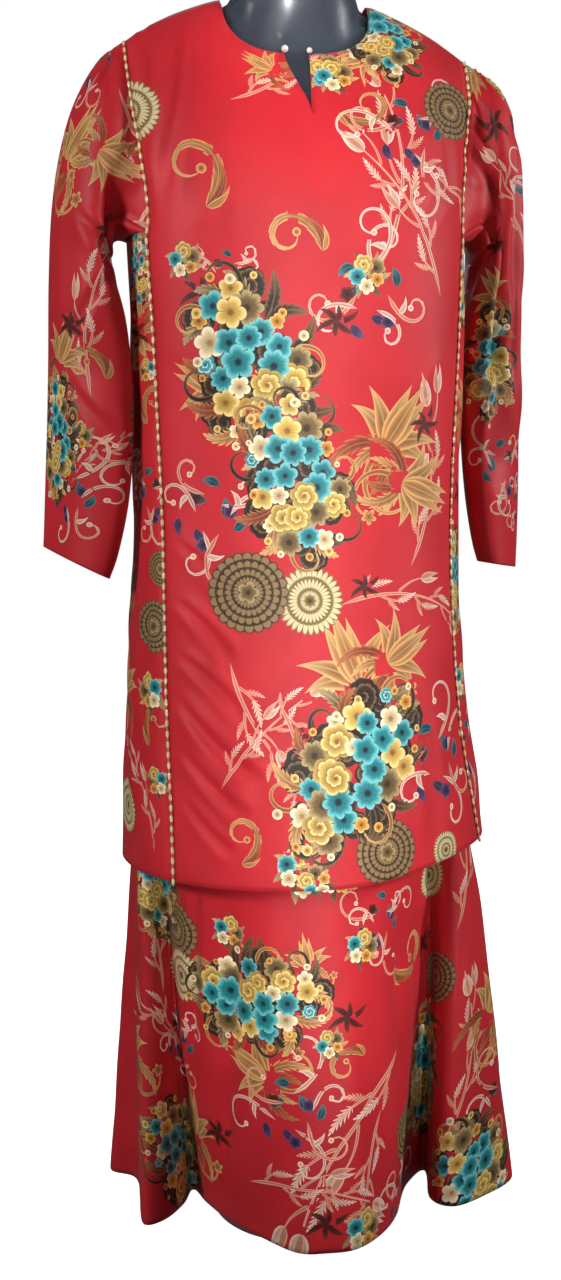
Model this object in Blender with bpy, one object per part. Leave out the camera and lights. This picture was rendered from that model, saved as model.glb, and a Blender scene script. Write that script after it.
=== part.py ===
"""Baju kurung on a limbless dress form.

A long tunic with straight body panels, side gores, underarm gussets and plain
sleeves hangs over a long flared skirt. Metres, +Z up. The front faces -Y and the
wearer's right side is at -X. The origin is the middle of the base's underside.
"""
import math

import bpy
import numpy as np
from mathutils import Vector

# Driving sizes
WALL = 0.0018             # cloth, as one closed wall
SEAM_GAP = 0.0004         # between two pieces at a seam
ARM_Z = 1.170             # underarm level
NECK_HALF = 0.085         # half the neck opening's width
NECK_TOP = 1.437          # height of the shoulder line at the neck
FRONT_DROP = 0.070        # how far the neckline dips in front
BACK_DROP = 0.018
FRONT_NECK_Y = 0.058      # how far the neckline lies before and behind the shoulders
BACK_NECK_Y = 0.056
NECK_SHARE = 0.54         # share of a panel's columns that end at the neckline
SLIT_FRACTION = 0.376     # how far down to the underarm the slit runs
SLIT_CORNER = {-1: -0.023, 1: 0.005}     # x of the slit's open corners
TUNIC_HEM = 0.452
HEM_RISE_LEFT = 0.021     # the hem is higher at the wearer's left
KNEE_Z = 0.440
SKIRT_HEM = 0.034
SKIRT_TOP = 0.962
BAND_TOP = 0.998
WAIST = (0.1325, 0.0975)  # half width and half depth, outside the waistband
HIP_Z = 0.800

PANEL_COLUMNS = 24
UPPER_ROWS = [0.0, 0.05, 0.14, 0.25, SLIT_FRACTION, 0.52, 0.68, 0.84, 1.0]
LOWER_ROWS = 15
GORE_COLUMNS = 6
SKIRT_COLUMNS = 84
FORM_COLUMNS = 32

RED = (0.560, 0.022, 0.030)
DEEP_RED = (0.430, 0.016, 0.020)
CREAM = (0.830, 0.690, 0.350)
PEARL = (0.850, 0.840, 0.800)
CHARCOAL = (0.055, 0.062, 0.078)
STEEL = (0.450, 0.450, 0.460)

# Level sections of the tunic below the arms. Seam and side are half widths for
# the wearer's right and left, and square is the exponent of the section's curve.
TUNIC = {
    "z":          [0.430, 0.520, 0.620, 0.740, 0.850, 0.950, 1.060, 1.170],
    "seam_right": [0.168, 0.168, 0.169, 0.168, 0.168, 0.170, 0.174, 0.180],
    "seam_left":  [0.209, 0.190, 0.175, 0.168, 0.167, 0.170, 0.175, 0.181],
    "side_right": [0.214, 0.210, 0.204, 0.197, 0.192, 0.190, 0.191, 0.195],
    "side_left":  [0.230, 0.220, 0.204, 0.195, 0.193, 0.193, 0.194, 0.196],
    "front":      [0.192, 0.178, 0.160, 0.140, 0.128, 0.124, 0.128, 0.126],
    "back":       [0.165, 0.156, 0.145, 0.132, 0.120, 0.108, 0.106, 0.106],
    "square":     [2.05, 2.05, 2.10, 2.20, 2.30, 2.40, 2.50, 2.60],
}

# Height of the shoulder line over the distance from the middle
SHOULDER = {
    "x": [0.000, 0.085, 0.120, 0.160, 0.195, 0.215],
    "z": [1.452, 1.437, 1.425, 1.407, 1.385, 1.370],
}
SHOULDER_END = {-1: 0.194, 1: 0.202}

# Sleeve rings after the armhole: outer edge, inner edge, half depth, and how far
# the outer edge lies behind and the inner edge before the middle.
SLEEVES = {
    -1: {
        "outer_x": [0.222, 0.250, 0.268, 0.278, 0.283, 0.286, 0.289, 0.292, 0.295, 0.297],
        "outer_z": [1.364, 1.318, 1.262, 1.200, 1.120, 1.040, 0.960, 0.900, 0.850, 0.822],
        "inner_x": [0.210, 0.212, 0.207, 0.199, 0.195, 0.194, 0.196, 0.202, 0.215, 0.225],
        "inner_z": [1.166, 1.148, 1.115, 1.075, 1.030, 0.980, 0.925, 0.870, 0.815, 0.787],
        "depth":   [0.061, 0.063, 0.063, 0.061, 0.057, 0.053, 0.048, 0.044, 0.040, 0.038],
        "behind":  [0.004, 0.008, 0.012, 0.015, 0.018, 0.021, 0.023, 0.025, 0.026, 0.026],
        "before":  [0.004, 0.008, 0.014, 0.020, 0.025, 0.028, 0.030, 0.031, 0.031, 0.030],
    },
    1: {
        "outer_x": [0.230, 0.254, 0.266, 0.272, 0.276, 0.278, 0.279, 0.280, 0.280, 0.279],
        "outer_z": [1.362, 1.322, 1.268, 1.200, 1.120, 1.040, 0.960, 0.890, 0.825, 0.787],
        "inner_x": [0.211, 0.213, 0.209, 0.203, 0.200, 0.199, 0.200, 0.205, 0.213, 0.220],
        "inner_z": [1.166, 1.148, 1.115, 1.075, 1.030, 0.980, 0.925, 0.870, 0.822, 0.797],
        "depth":   [0.061, 0.063, 0.063, 0.061, 0.057, 0.053, 0.048, 0.044, 0.040, 0.038],
        "behind":  [0.004, 0.006, 0.009, 0.012, 0.015, 0.018, 0.021, 0.023, 0.024, 0.024],
        "before":  [0.004, 0.004, 0.006, 0.010, 0.014, 0.018, 0.021, 0.023, 0.024, 0.024],
    },
}
GUSSET_RINGS = 2

# The skirt's folds, once round from the middle of the front by the wearer's
# right: x and y at knee height and at the hem.
FOLDS = [
    # knee x, knee y, hem x, hem y
    (-0.010, -0.163, -0.010, -0.196),
    (-0.058, -0.152, -0.044, -0.188),
    (-0.102, -0.126, -0.080, -0.146),
    (-0.140, -0.094, -0.106, -0.104),
    (-0.163, -0.068, -0.127, -0.058),
    (-0.171, -0.044, -0.138, -0.022),
    (-0.181, -0.050, -0.154, -0.056),
    (-0.191, -0.056, -0.182, -0.090),
    (-0.199, -0.046, -0.207, -0.094),
    (-0.198, -0.016, -0.204, -0.030),
    (-0.201, 0.006, -0.206, 0.022),
    (-0.202, 0.028, -0.232, 0.050),
    (-0.188, 0.062, -0.214, 0.104),
    (-0.152, 0.082, -0.160, 0.104),
    (-0.124, 0.110, -0.138, 0.168),
    (-0.084, 0.132, -0.090, 0.188),
    (-0.046, 0.130, -0.048, 0.146),
    (0.000, 0.146, 0.000, 0.196),
    (0.046, 0.144, 0.052, 0.192),
    (0.080, 0.126, 0.086, 0.144),
    (0.116, 0.132, 0.134, 0.178),
    (0.152, 0.102, 0.184, 0.130),
    (0.164, 0.076, 0.170, 0.080),
    (0.198, 0.050, 0.230, 0.056),
    (0.211, -0.002, 0.258, -0.006),
    (0.207, -0.044, 0.251, -0.074),
    (0.194, -0.066, 0.204, -0.112),
    (0.178, -0.074, 0.160, -0.130),
    (0.163, -0.066, 0.138, -0.104),
    (0.153, -0.046, 0.151, -0.034),
    (0.139, -0.066, 0.120, -0.062),
    (0.110, -0.108, 0.090, -0.128),
    (0.074, -0.138, 0.060, -0.168),
    (0.032, -0.158, 0.024, -0.194),
]
SIDE_SEAM_RIGHT = 11.5    # place of each side seam, counted in rows of FOLDS
SIDE_SEAM_LEFT = 24.0

# Level sections of the dress form, and of its neck
FORM = {
    "z":     [0.630, 0.660, 0.720, 0.790, 0.870, 0.925, 0.950, 0.965, 0.995, 1.010, 1.080, 1.170,
              1.290, 1.380, 1.437],
    "width": [0.120, 0.146, 0.158, 0.164, 0.150, 0.1345, 0.1302, 0.1302, 0.1302, 0.1302, 0.148, 0.168,
              0.182, 0.186, 0.186],
    "front": [0.070, 0.088, 0.094, 0.098, 0.096, 0.0955, 0.0952, 0.0952, 0.0952, 0.0952, 0.106, 0.114,
              0.110, 0.100, 0.090],
    "back":  [0.075, 0.096, 0.104, 0.106, 0.100, 0.0965, 0.0952, 0.0952, 0.0952, 0.0952, 0.092, 0.096,
              0.098, 0.092, 0.080],
}
NECK = {
    "z":     [1.345, 1.370, 1.400, 1.430, 1.455, 1.480, 1.500],
    "width": [0.060, 0.072, 0.078, 0.0765, 0.066, 0.063, 0.062],
    "depth": [0.040, 0.049, 0.051, 0.052, 0.053, 0.054, 0.054],
}
FORM_LEVELS = [0.630, 0.634, 0.650, 0.680, 0.740, 0.800, 0.870, 0.925, 0.952, 0.968, 0.992, 1.008, 1.060, 1.120,
               1.172, 1.230, 1.285, 1.325, 1.350, 1.366, 1.382, 1.396, 1.408, 1.419, 1.429, 1.437,
               1.447, 1.462, 1.488, 1.496, 1.500]
CAP_START = 1.488
FORM_CLEAR = 0.0028       # from the cloth's outer face, so just inside its wall
FORM_CLEAR_NECK = 0.0065
NECK_ROOM = 0.004         # more room inside the neckline
REACH_SPREAD = 0.07       # angle to either side that the form also keeps clear
BASE_RADIUS = 0.108
BASE_THICKNESS = 0.008
POLE_RADIUS = 0.014
TOUCH = 0.0003


def remove_scene_objects():
    for item in list(bpy.data.objects):
        bpy.data.objects.remove(item, do_unlink=True)


def read(table, column, at, key="z"):
    """Smooth value of a table's column: a cubic through its rows."""
    places = table[key]
    values = table[column]
    last = len(places) - 1
    at = min(max(at, places[0]), places[last])
    row = 0
    while row < last - 1 and at > places[row + 1]:
        row += 1

    def slope(index):
        low = max(index - 1, 0)
        high = min(index + 1, last)
        return (values[high] - values[low]) / (places[high] - places[low])

    span = places[row + 1] - places[row]
    t = (at - places[row]) / span
    start = values[row] * (1 + 2 * t) * (1 - t) ** 2 + slope(row) * span * t * (1 - t) ** 2
    end = values[row + 1] * t * t * (3 - 2 * t) + slope(row + 1) * span * t * t * (t - 1)
    return start + end


def smooth(t):
    t = min(max(t, 0.0), 1.0)
    return t * t * (3 - 2 * t)


def mix(a, b, t):
    return a + (b - a) * t


def side_name(side):
    return "right" if side < 0 else "left"


def hem_height(x):
    return TUNIC_HEM + HEM_RISE_LEFT * smooth(x / 0.20)


def depth_share(share, z, side):
    """How deep the section is, as a share of its depth, at a share of the seam's x."""
    seam = read(TUNIC, "seam_" + side_name(side), z)
    edge = read(TUNIC, "side_" + side_name(side), z)
    square = read(TUNIC, "square", z)
    return max(0.0, 1 - (share * seam / edge) ** square) ** (1 / square)


def lower_point(s, z, facing):
    side = -1 if s < 0 else 1
    x = s * read(TUNIC, "seam_" + side_name(side), z)
    deep = read(TUNIC, "front" if facing < 0 else "back", z)
    return (x, facing * deep * depth_share(abs(s), z, side), z)


def top_edge(s, side, facing):
    """A panel's top edge: the neckline near the middle, then the shoulder line."""
    share = abs(s)
    if share >= NECK_SHARE:
        x = mix(NECK_HALF, SHOULDER_END[side], (share - NECK_SHARE) / (1 - NECK_SHARE))
        return side * x, 0.0, read(SHOULDER, "z", x, "x")
    turn = share / NECK_SHARE * math.pi / 2
    drop = FRONT_DROP if facing < 0 else BACK_DROP
    deep = FRONT_NECK_Y if facing < 0 else BACK_NECK_Y
    start = SLIT_CORNER[side] if facing < 0 else 0.0
    x = start + (side * NECK_HALF - start) * math.sin(turn) ** 0.78
    return x, deep * math.cos(turn) ** 0.85, NECK_TOP - drop * math.cos(turn) ** 0.78


def upper_point(s, fraction, side, facing):
    """A point of a panel between its top edge and the underarm level."""
    top_x, top_y, top_z = top_edge(s, side, facing)
    low_x = s * read(TUNIC, "seam_" + side_name(side), ARM_Z)
    deep = read(TUNIC, "front" if facing < 0 else "back", ARM_Z)
    low_y = deep * depth_share(abs(s), ARM_Z, side)
    share = min(abs(s) / NECK_SHARE, 1.0)
    settle = mix(SLIT_FRACTION, 1.0, share) if facing < 0 else 1.0
    bend = mix(0.92, 0.72, share)
    x = mix(top_x, low_x, smooth(fraction / settle))
    y = mix(top_y, low_y, math.sin(fraction * math.pi / 2) ** bend)
    return (x, facing * y, mix(top_z, ARM_Z, fraction))


def half_panel(side, facing):
    """Points of half a body panel: rows from the top edge down, columns outwards."""
    half = PANEL_COLUMNS // 2
    rows = []
    for fraction in UPPER_ROWS:
        rows.append([upper_point(side * i / half, fraction, side, facing) for i in range(half + 1)])
    for step in range(1, LOWER_ROWS + 1):
        row = []
        for i in range(half + 1):
            s = side * i / half
            hem = hem_height(s * 0.19)
            z = mix(ARM_Z, hem, step / LOWER_ROWS)
            row.append(lower_point(s if i else side * 1e-9, z, facing))
        rows.append(row)
    if facing < 0:
        return rows
    return [row[:] for row in rows]


def gore(side, front, back):
    """Side gore: from the front panel's edge round the side to the back panel's."""
    first = len(UPPER_ROWS) - 1
    rows = []
    for row in range(first, len(front)):
        start, end = front[row][-1], back[row][-1]
        z = start[2]
        edge = read(TUNIC, "side_" + side_name(side), z)
        seam = read(TUNIC, "seam_" + side_name(side), z)
        square = read(TUNIC, "square", z)
        turn = math.asin((seam / edge) ** (square / 2))
        line = [start]
        for i in range(1, GORE_COLUMNS):
            angle = mix(turn, math.pi - turn, i / GORE_COLUMNS)
            deep = read(TUNIC, "front" if angle < math.pi / 2 else "back", z)
            x = side * edge * math.sin(angle) ** (2 / square)
            y = -math.copysign(abs(math.cos(angle)) ** (2 / square), math.cos(angle)) * deep
            line.append((x, y, z))
        line.append(end)
        rows.append(line)
    return rows


def sleeve(side, front, back, gore_rows):
    """Sleeve rings from the armhole to the cuff. Each ring starts at the top."""
    last = len(UPPER_ROWS) - 1
    armhole = [front[row][-1] for row in range(last + 1)]
    armhole += gore_rows[0][1:-1]
    armhole += [back[row][-1] for row in range(last, 0, -1)]
    ring = np.array(armhole)
    steps = np.linalg.norm(np.roll(ring, -1, axis=0) - ring, axis=1)
    along = np.concatenate([[0], np.cumsum(steps)[:-1]]) / steps.sum()
    table = SLEEVES[side]
    rings = [armhole]
    for row in range(len(table["depth"])):
        outer = np.array([side * table["outer_x"][row], table["behind"][row], table["outer_z"][row]])
        inner = np.array([side * table["inner_x"][row], -table["before"][row], table["inner_z"][row]])
        middle = (outer + inner) / 2
        reach = (outer - inner) / 2
        line = []
        for share in along:
            angle = share * 2 * math.pi
            point = middle + reach * math.cos(angle)
            point[1] -= table["depth"][row] * math.sin(angle)
            line.append(tuple(point))
        rings.append(line)
    return rings


class Cloth:
    """Pieces that share their points at the seams, so that their walls match."""

    def __init__(self):
        self.points = []
        self.numbers = {}
        self.faces = {}

    def number(self, point):
        key = tuple(round(value, 6) for value in point)
        if key not in self.numbers:
            self.numbers[key] = len(self.points)
            self.points.append(point)
        return self.numbers[key]

    def add(self, piece, corners):
        numbers = []
        for corner in corners:
            number = self.number(corner)
            if number not in numbers:
                numbers.append(number)
        if len(numbers) > 2:
            self.faces.setdefault(piece, []).append(numbers)

    def grid(self, rows, piece, flip=False, closed=False):
        """Faces between rows of points. piece is a name, or a function of row and column."""
        for r in range(len(rows) - 1):
            count = len(rows[r])
            for c in range(count if closed else count - 1):
                d = (c + 1) % count
                corners = [rows[r][c], rows[r + 1][c], rows[r + 1][d], rows[r][d]]
                if flip:
                    corners.reverse()
                self.add(piece(r, c) if callable(piece) else piece, corners)

    def normals(self):
        points = np.array(self.points)
        total = np.zeros_like(points)
        for faces in self.faces.values():
            for face in faces:
                corner = points[face]
                cross = np.cross(corner[2] - corner[0], corner[-1] - corner[1])
                if len(face) == 3:
                    cross = np.cross(corner[1] - corner[0], corner[2] - corner[0])
                total[face] += cross / np.linalg.norm(cross)
        return total / np.maximum(np.linalg.norm(total, axis=1), 1e-12)[:, None]

    def shell(self, piece):
        """Closed wall of one piece, drawn in by half a seam gap along its edges."""
        points = np.array(self.points)
        normals = self.normals()
        faces = self.faces[piece]
        used = sorted({number for face in faces for number in face})
        place = {number: i for i, number in enumerate(used)}
        edges = {}
        for face in faces:
            corner = points[face]
            cross = np.cross(corner[2] - corner[0], corner[-1] - corner[1])
            for i, number in enumerate(face):
                edges[(number, face[(i + 1) % len(face)])] = cross
        border = [edge for edge in edges if (edge[1], edge[0]) not in edges]
        pull = {end: np.zeros(3) for edge in border for end in edge}
        for edge in border:
            inward = np.cross(edges[edge], points[edge[1]] - points[edge[0]])
            for end in edge:
                pull[end] += inward / np.linalg.norm(inward)
        outer = points[used].copy()
        for number, inward in pull.items():
            inward = inward - normals[number] * inward.dot(normals[number])
            sharp = max(np.linalg.norm(inward), 1.0) / 2
            outer[place[number]] += inward / np.linalg.norm(inward) * SEAM_GAP / 2 / sharp
        inner = outer - normals[used] * WALL
        count = len(used)
        shell_faces = [[place[number] for number in face] for face in faces]
        shell_faces += [[place[number] + count for number in reversed(face)] for face in faces]
        for start, end in border:
            a, b = place[start], place[end]
            if start < end:
                shell_faces += [[b, a, b + count], [a, a + count, b + count]]
            else:
                shell_faces += [[b, a, a + count], [b, a + count, b + count]]
        return np.vstack([outer, inner]), shell_faces


def make_material(name, colour, roughness, metallic=0.0):
    material = bpy.data.materials.new(name)
    material.use_nodes = True
    shader = material.node_tree.nodes["Principled BSDF"]
    shader.inputs["Base Color"].default_value = (*colour, 1.0)
    shader.inputs["Roughness"].default_value = roughness
    shader.inputs["Metallic"].default_value = metallic
    material.diffuse_color = (*colour, 1.0)
    return material


def make_object(name, points, faces, material, parent):
    points = np.array(points)
    centre = (points.min(axis=0) + points.max(axis=0)) / 2
    mesh = bpy.data.meshes.new(name)
    mesh.from_pydata([tuple(point) for point in points - centre], [], faces)
    mesh.materials.append(material)
    mesh.shade_smooth()
    mesh.update()
    item = bpy.data.objects.new(name, mesh)
    item.location = Vector(centre)
    item.parent = parent
    bpy.context.scene.collection.objects.link(item)
    return item


def loft(rings):
    """Closed solid through rings of equal count, with flat ends."""
    count = len(rings[0])
    points = [point for ring in rings for point in ring]
    faces = []
    for r in range(len(rings) - 1):
        for c in range(count):
            d = (c + 1) % count
            faces.append([r * count + c, r * count + d, (r + 1) * count + d, (r + 1) * count + c])
    faces.append(list(reversed(range(count))))
    top = (len(rings) - 1) * count
    faces.append([top + c for c in range(count)])
    return points, faces


def circle(radius, z, count):
    return [(radius * math.cos(2 * math.pi * i / count), radius * math.sin(2 * math.pi * i / count), z)
            for i in range(count)]


def build_tunic():
    cloth = Cloth()
    panels = {}
    for facing, name in ((-1, "front_panel"), (1, "back_panel")):
        for side in (-1, 1):
            rows = half_panel(side, facing)
            panels[side, facing] = rows
            cloth.grid(rows, name, flip=(side * facing > 0))
    for side in (-1, 1):
        name = side_name(side)
        rows = gore(side, panels[side, -1], panels[side, 1])
        cloth.grid(rows, "side_gore_" + name, flip=(side < 0))
        rings = sleeve(side, panels[side, -1], panels[side, 1], rows)
        first = len(UPPER_ROWS) - 1

        def piece(ring, column, name=name, first=first):
            under = first <= column < first + GORE_COLUMNS
            return ("gusset_" if under and ring < GUSSET_RINGS else "sleeve_") + name

        cloth.grid(rings, piece, flip=(side > 0), closed=True)
    return cloth, panels


def spline(points, at):
    """Point of a closed Catmull-Rom curve at a place counted in its rows."""
    count = len(points)
    i = int(math.floor(at))
    t = at - i
    p0, p1, p2, p3 = (np.array(points[(i + k) % count]) for k in (-1, 0, 1, 2))
    return 0.5 * (2 * p1 + (p2 - p0) * t + (2 * p0 - 5 * p1 + 4 * p2 - p3) * t ** 2
                  + (3 * p1 - p0 - 3 * p2 + p3) * t ** 3)


def skirt_places():
    """Where the skirt's columns lie along the rows of FOLDS: even steps round the hem."""
    fine = [spline(FOLDS, k / 20) for k in range(len(FOLDS) * 20 + 1)]
    steps = [0.0]
    for a, b in zip(fine, fine[1:]):
        steps.append(steps[-1] + math.hypot(b[2] - a[2], b[3] - a[3]))
    places = []
    for i in range(SKIRT_COLUMNS):
        goal = steps[-1] * i / SKIRT_COLUMNS
        k = next(n for n in range(1, len(steps)) if steps[n] >= goal)
        t = (goal - steps[k - 1]) / (steps[k] - steps[k - 1])
        places.append((k - 1 + t) / 20)
    return places


def skirt_hem(x):
    return SKIRT_HEM + 0.004 * smooth(abs(x) / 0.2)


def build_skirt():
    """Rings of the skirt: straight from waist to hip, then falling into its folds."""
    places = skirt_places()
    knee = [spline(FOLDS, place) for place in places]
    steps = [math.hypot(knee[i][0] - knee[i - 1][0], knee[i][1] - knee[i - 1][1])
             for i in range(SKIRT_COLUMNS)]
    steps[0] = 0.0
    whole = sum(steps) + math.hypot(knee[0][0] - knee[-1][0], knee[0][1] - knee[-1][1])
    turns = [2 * math.pi * value / whole for value in np.cumsum(steps)]
    levels = [SKIRT_TOP, 0.925, 0.885, 0.845, HIP_Z, 0.740, 0.680, 0.620, 0.560, 0.500, KNEE_Z,
              0.370, 0.300, 0.230, 0.160, 0.095, SKIRT_HEM]
    rings = []
    for z in levels:
        ring = []
        for turn, fold in zip(turns, knee):
            loose = smooth((SKIRT_TOP - z) / (SKIRT_TOP - HIP_Z))
            wide = mix(WAIST[0], 0.171, loose)
            deep = mix(WAIST[1], 0.112, loose)
            x, y = -wide * math.sin(turn), -deep * math.cos(turn)
            height = z
            if z < HIP_Z:
                fall = min((HIP_Z - z) / (HIP_Z - KNEE_Z), 1.0) ** 1.25
                x, y = mix(x, fold[0], fall), mix(y, fold[1], fall)
            if z < KNEE_Z:
                fall = (KNEE_Z - z) / (KNEE_Z - SKIRT_HEM)
                x, y = mix(fold[0], fold[2], fall), mix(fold[1], fold[3], fall)
                height = mix(KNEE_Z, skirt_hem(x), fall)
            ring.append((x, y, height))
        rings.append(ring)
    right = min(range(SKIRT_COLUMNS), key=lambda i: abs(places[i] - SIDE_SEAM_RIGHT))
    left = min(range(SKIRT_COLUMNS), key=lambda i: abs(places[i] - SIDE_SEAM_LEFT))
    cloth = Cloth()

    def piece(ring, column):
        return "skirt_back" if right <= column < left else "skirt_front"

    cloth.grid(rings, piece, flip=True, closed=True)
    band = []
    for z in (BAND_TOP, SKIRT_TOP + SEAM_GAP / 2):
        ring = []
        for i in range(FORM_COLUMNS):
            angle = form_angle(i)
            reach = oval_reach(angle, *WAIST)
            ring.append((-reach * math.sin(angle), -reach * math.cos(angle), z))
        band.append(ring)
    band_cloth = Cloth()
    band_cloth.grid(band, "skirt_waistband", flip=True, closed=True)
    return cloth, band_cloth


def trim(cloth, rows):
    """Cord along a front seam: the seam's points moved out along their normals."""
    normals = cloth.normals()
    path = [np.array(row[-1]) for row in rows]
    out = [normals[cloth.number(row[-1])] for row in rows]
    path[0] = path[0] * 0.6 + path[1] * 0.4
    section = [(-0.0024, 0.0021), (-0.0012, 0.0009), (0.0012, 0.0009), (0.0024, 0.0021),
               (0.0012, 0.0035), (-0.0012, 0.0035)]
    rings = []
    for i, (point, normal) in enumerate(zip(path, out)):
        along = path[min(i + 1, len(path) - 1)] - path[max(i - 1, 0)]
        across = np.cross(normal, along)
        across /= np.linalg.norm(across)
        rings.append([tuple(point + across * a + normal * b) for a, b in section])
    return loft(rings)


def ball(centre, radius, rings=7, count=12):
    levels = [-math.cos(math.pi * (i + 0.35) / (rings - 0.3)) for i in range(rings)]
    lines = []
    for level in levels:
        wide = radius * math.sqrt(1 - level * level)
        lines.append([(centre[0] + wide * math.cos(2 * math.pi * i / count),
                       centre[1] + wide * math.sin(2 * math.pi * i / count),
                       centre[2] + radius * level) for i in range(count)])
    return loft(lines)


def cloth_outline(z):
    """Angles and reaches of the tunic's shoulders, cut level at a height."""
    outline = []
    for facing in (-1, 1):
        for side in (-1, 1):
            for i in range(25):
                s = side * i / 24
                top = top_edge(s, side, facing)[2]
                fraction = (top - z) / (top - ARM_Z)
                if fraction < 0 and abs(s) >= NECK_SHARE:
                    continue
                x, y, _ = upper_point(s, max(fraction, 0.0), side, facing)
                reach = math.hypot(x, y) - (NECK_ROOM if fraction < 0 else 0.0)
                outline.append((math.atan2(-x, -y) % (2 * math.pi), reach))
    outline.sort()
    return outline


def cloth_reach(outline, angle):
    """How far out from its middle the form may go at an angle and just beside it."""
    angles = [pair[0] for pair in outline]
    reaches = [pair[1] for pair in outline]
    beside = (angle - REACH_SPREAD, angle, angle + REACH_SPREAD)
    return float(min(np.interp(beside, angles, reaches, period=2 * math.pi)))


def form_angle(column):
    """Angle of a column of the form, closer together at the sides."""
    even = 2 * math.pi * column / FORM_COLUMNS
    return even + 0.28 * math.sin(2 * even)


def oval_reach(angle, width, deep):
    return 1 / math.hypot(math.sin(angle) / width, math.cos(angle) / deep)


def clearance(z):
    """Room to the cloth's outer face, more above the shoulders' point of rest."""
    return mix(FORM_CLEAR, FORM_CLEAR_NECK, smooth((z - 1.338) / 0.028))


def form_reach(angle, z, level, raised):
    """Reach of the dress form at an angle and height, inside the cloth at both outlines."""
    reach = 0.0
    if raised or z <= ARM_Z:
        deep = read(FORM, "front" if math.cos(angle) > 0 else "back", z)
        reach = oval_reach(angle, read(FORM, "width", z), deep)
    if raised:
        reach = min(reach, cloth_reach(raised, angle) - clearance(z))
    if z >= NECK["z"][0]:
        neck = oval_reach(angle, read(NECK, "width", z), read(NECK, "depth", z))
        if z > CAP_START:
            neck *= 1 - 0.25 * ((z - CAP_START) / (FORM_LEVELS[-1] - CAP_START)) ** 2
        if level:
            neck = min(neck, cloth_reach(level, angle) - clearance(z))
        reach = max(reach, neck)
    return reach


def build_form():
    rings = []
    for z in FORM_LEVELS:
        within = ARM_Z < z < NECK_TOP - FORM_CLEAR_NECK
        level = cloth_outline(z) if within else None
        raised = cloth_outline(z + clearance(z)) if within else None
        ring = []
        for i in range(FORM_COLUMNS):
            angle = form_angle(i)
            reach = form_reach(angle, z, level, raised)
            ring.append((-reach * math.sin(angle), -reach * math.cos(angle), z))
        ring.reverse()
        rings.append(ring)
    return loft(rings)


def main():
    remove_scene_objects()
    root = bpy.data.objects.new("baju_kurung", None)
    bpy.context.scene.collection.objects.link(root)
    red = make_material("printed_cloth", RED, 0.55)
    deep_red = make_material("printed_cloth_skirt", DEEP_RED, 0.55)
    cream = make_material("beaded_trim", CREAM, 0.35)
    pearl = make_material("pearl", PEARL, 0.20)
    charcoal = make_material("form_paint", CHARCOAL, 0.25)
    steel = make_material("base_steel", STEEL, 0.30, 1.0)

    cloth, panels = build_tunic()
    for name in sorted(cloth.faces):
        make_object(name, *cloth.shell(name), red, root)
    for side in (-1, 1):
        make_object("trim_" + side_name(side), *trim(cloth, panels[side, -1]), cream, root)
    normals = cloth.normals()
    for side, radius in ((-1, 0.0040), (1, 0.0032)):
        corner = panels[side, -1][0][0]
        normal = normals[cloth.number(corner)]
        centre = np.array(corner) + normal * (radius + 0.0007)
        make_object("pearl_" + side_name(side), *ball(centre, radius), pearl, root)
    skirt, band = build_skirt()
    for name in sorted(skirt.faces):
        make_object(name, *skirt.shell(name), deep_red, root)
    make_object("skirt_waistband", *band.shell("skirt_waistband"), deep_red, root)

    make_object("form_torso", *build_form(), charcoal, root)
    pole = [circle(POLE_RADIUS, z, 20) for z in (BASE_THICKNESS + TOUCH, FORM_LEVELS[0] - TOUCH)]
    make_object("form_pole", *loft(pole), steel, root)
    base = [circle(BASE_RADIUS - 0.001, 0.0, 48), circle(BASE_RADIUS, 0.001, 48),
            circle(BASE_RADIUS, BASE_THICKNESS - 0.002, 48),
            circle(BASE_RADIUS - 0.002, BASE_THICKNESS, 48)]
    make_object("form_base", *loft(base), steel, root)


main()
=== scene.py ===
"""Looks of a baju kurung on a limbless dress form: printed crepe, beads, stitches and folds.

Metres, +Z up. The front faces -Y and the wearer's right side is at -X.
"""
import math

import bmesh
import bpy
import numpy as np
from mathutils import Matrix, Vector


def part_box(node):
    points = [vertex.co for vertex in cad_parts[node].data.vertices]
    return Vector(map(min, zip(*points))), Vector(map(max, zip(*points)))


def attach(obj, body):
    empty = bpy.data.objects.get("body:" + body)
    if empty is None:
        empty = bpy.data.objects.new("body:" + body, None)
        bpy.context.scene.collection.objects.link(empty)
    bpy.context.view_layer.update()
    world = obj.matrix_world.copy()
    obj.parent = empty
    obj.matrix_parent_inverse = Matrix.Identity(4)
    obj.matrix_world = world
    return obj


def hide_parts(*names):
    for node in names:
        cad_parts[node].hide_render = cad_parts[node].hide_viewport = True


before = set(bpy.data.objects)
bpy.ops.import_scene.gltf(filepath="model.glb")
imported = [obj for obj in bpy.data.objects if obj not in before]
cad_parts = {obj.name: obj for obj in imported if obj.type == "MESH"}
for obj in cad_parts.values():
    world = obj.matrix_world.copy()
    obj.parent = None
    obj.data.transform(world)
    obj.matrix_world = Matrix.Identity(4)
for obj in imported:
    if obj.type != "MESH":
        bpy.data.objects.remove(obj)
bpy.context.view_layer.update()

# The garment's sizes, as in its solids
ARM_Z = 1.170             # underarm level
NECK_HALF = 0.085
NECK_TOP = 1.437
FRONT_DROP = 0.070
BACK_DROP = 0.018
FRONT_NECK_Y = 0.058
BACK_NECK_Y = 0.056
NECK_SHARE = 0.54
SLIT_FRACTION = 0.376
SLIT_CORNER = {-1: -0.023, 1: 0.005}
TUNIC_HEM = 0.452
HEM_RISE_LEFT = 0.021
KNEE_Z = 0.440
SKIRT_HEM = 0.034
SKIRT_TOP = 0.962
BAND_TOP = 0.998
WAIST = (0.1325, 0.0975)
HIP_Z = 0.800
BASE_RADIUS = 0.108
BASE_THICKNESS = 0.008
POLE_RADIUS = 0.014
POLE_TOP = 0.6297

CLOTH = 0.0009            # the shell's thickness
SEAM_DIP = 0.0007         # a plain seam's groove

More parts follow.
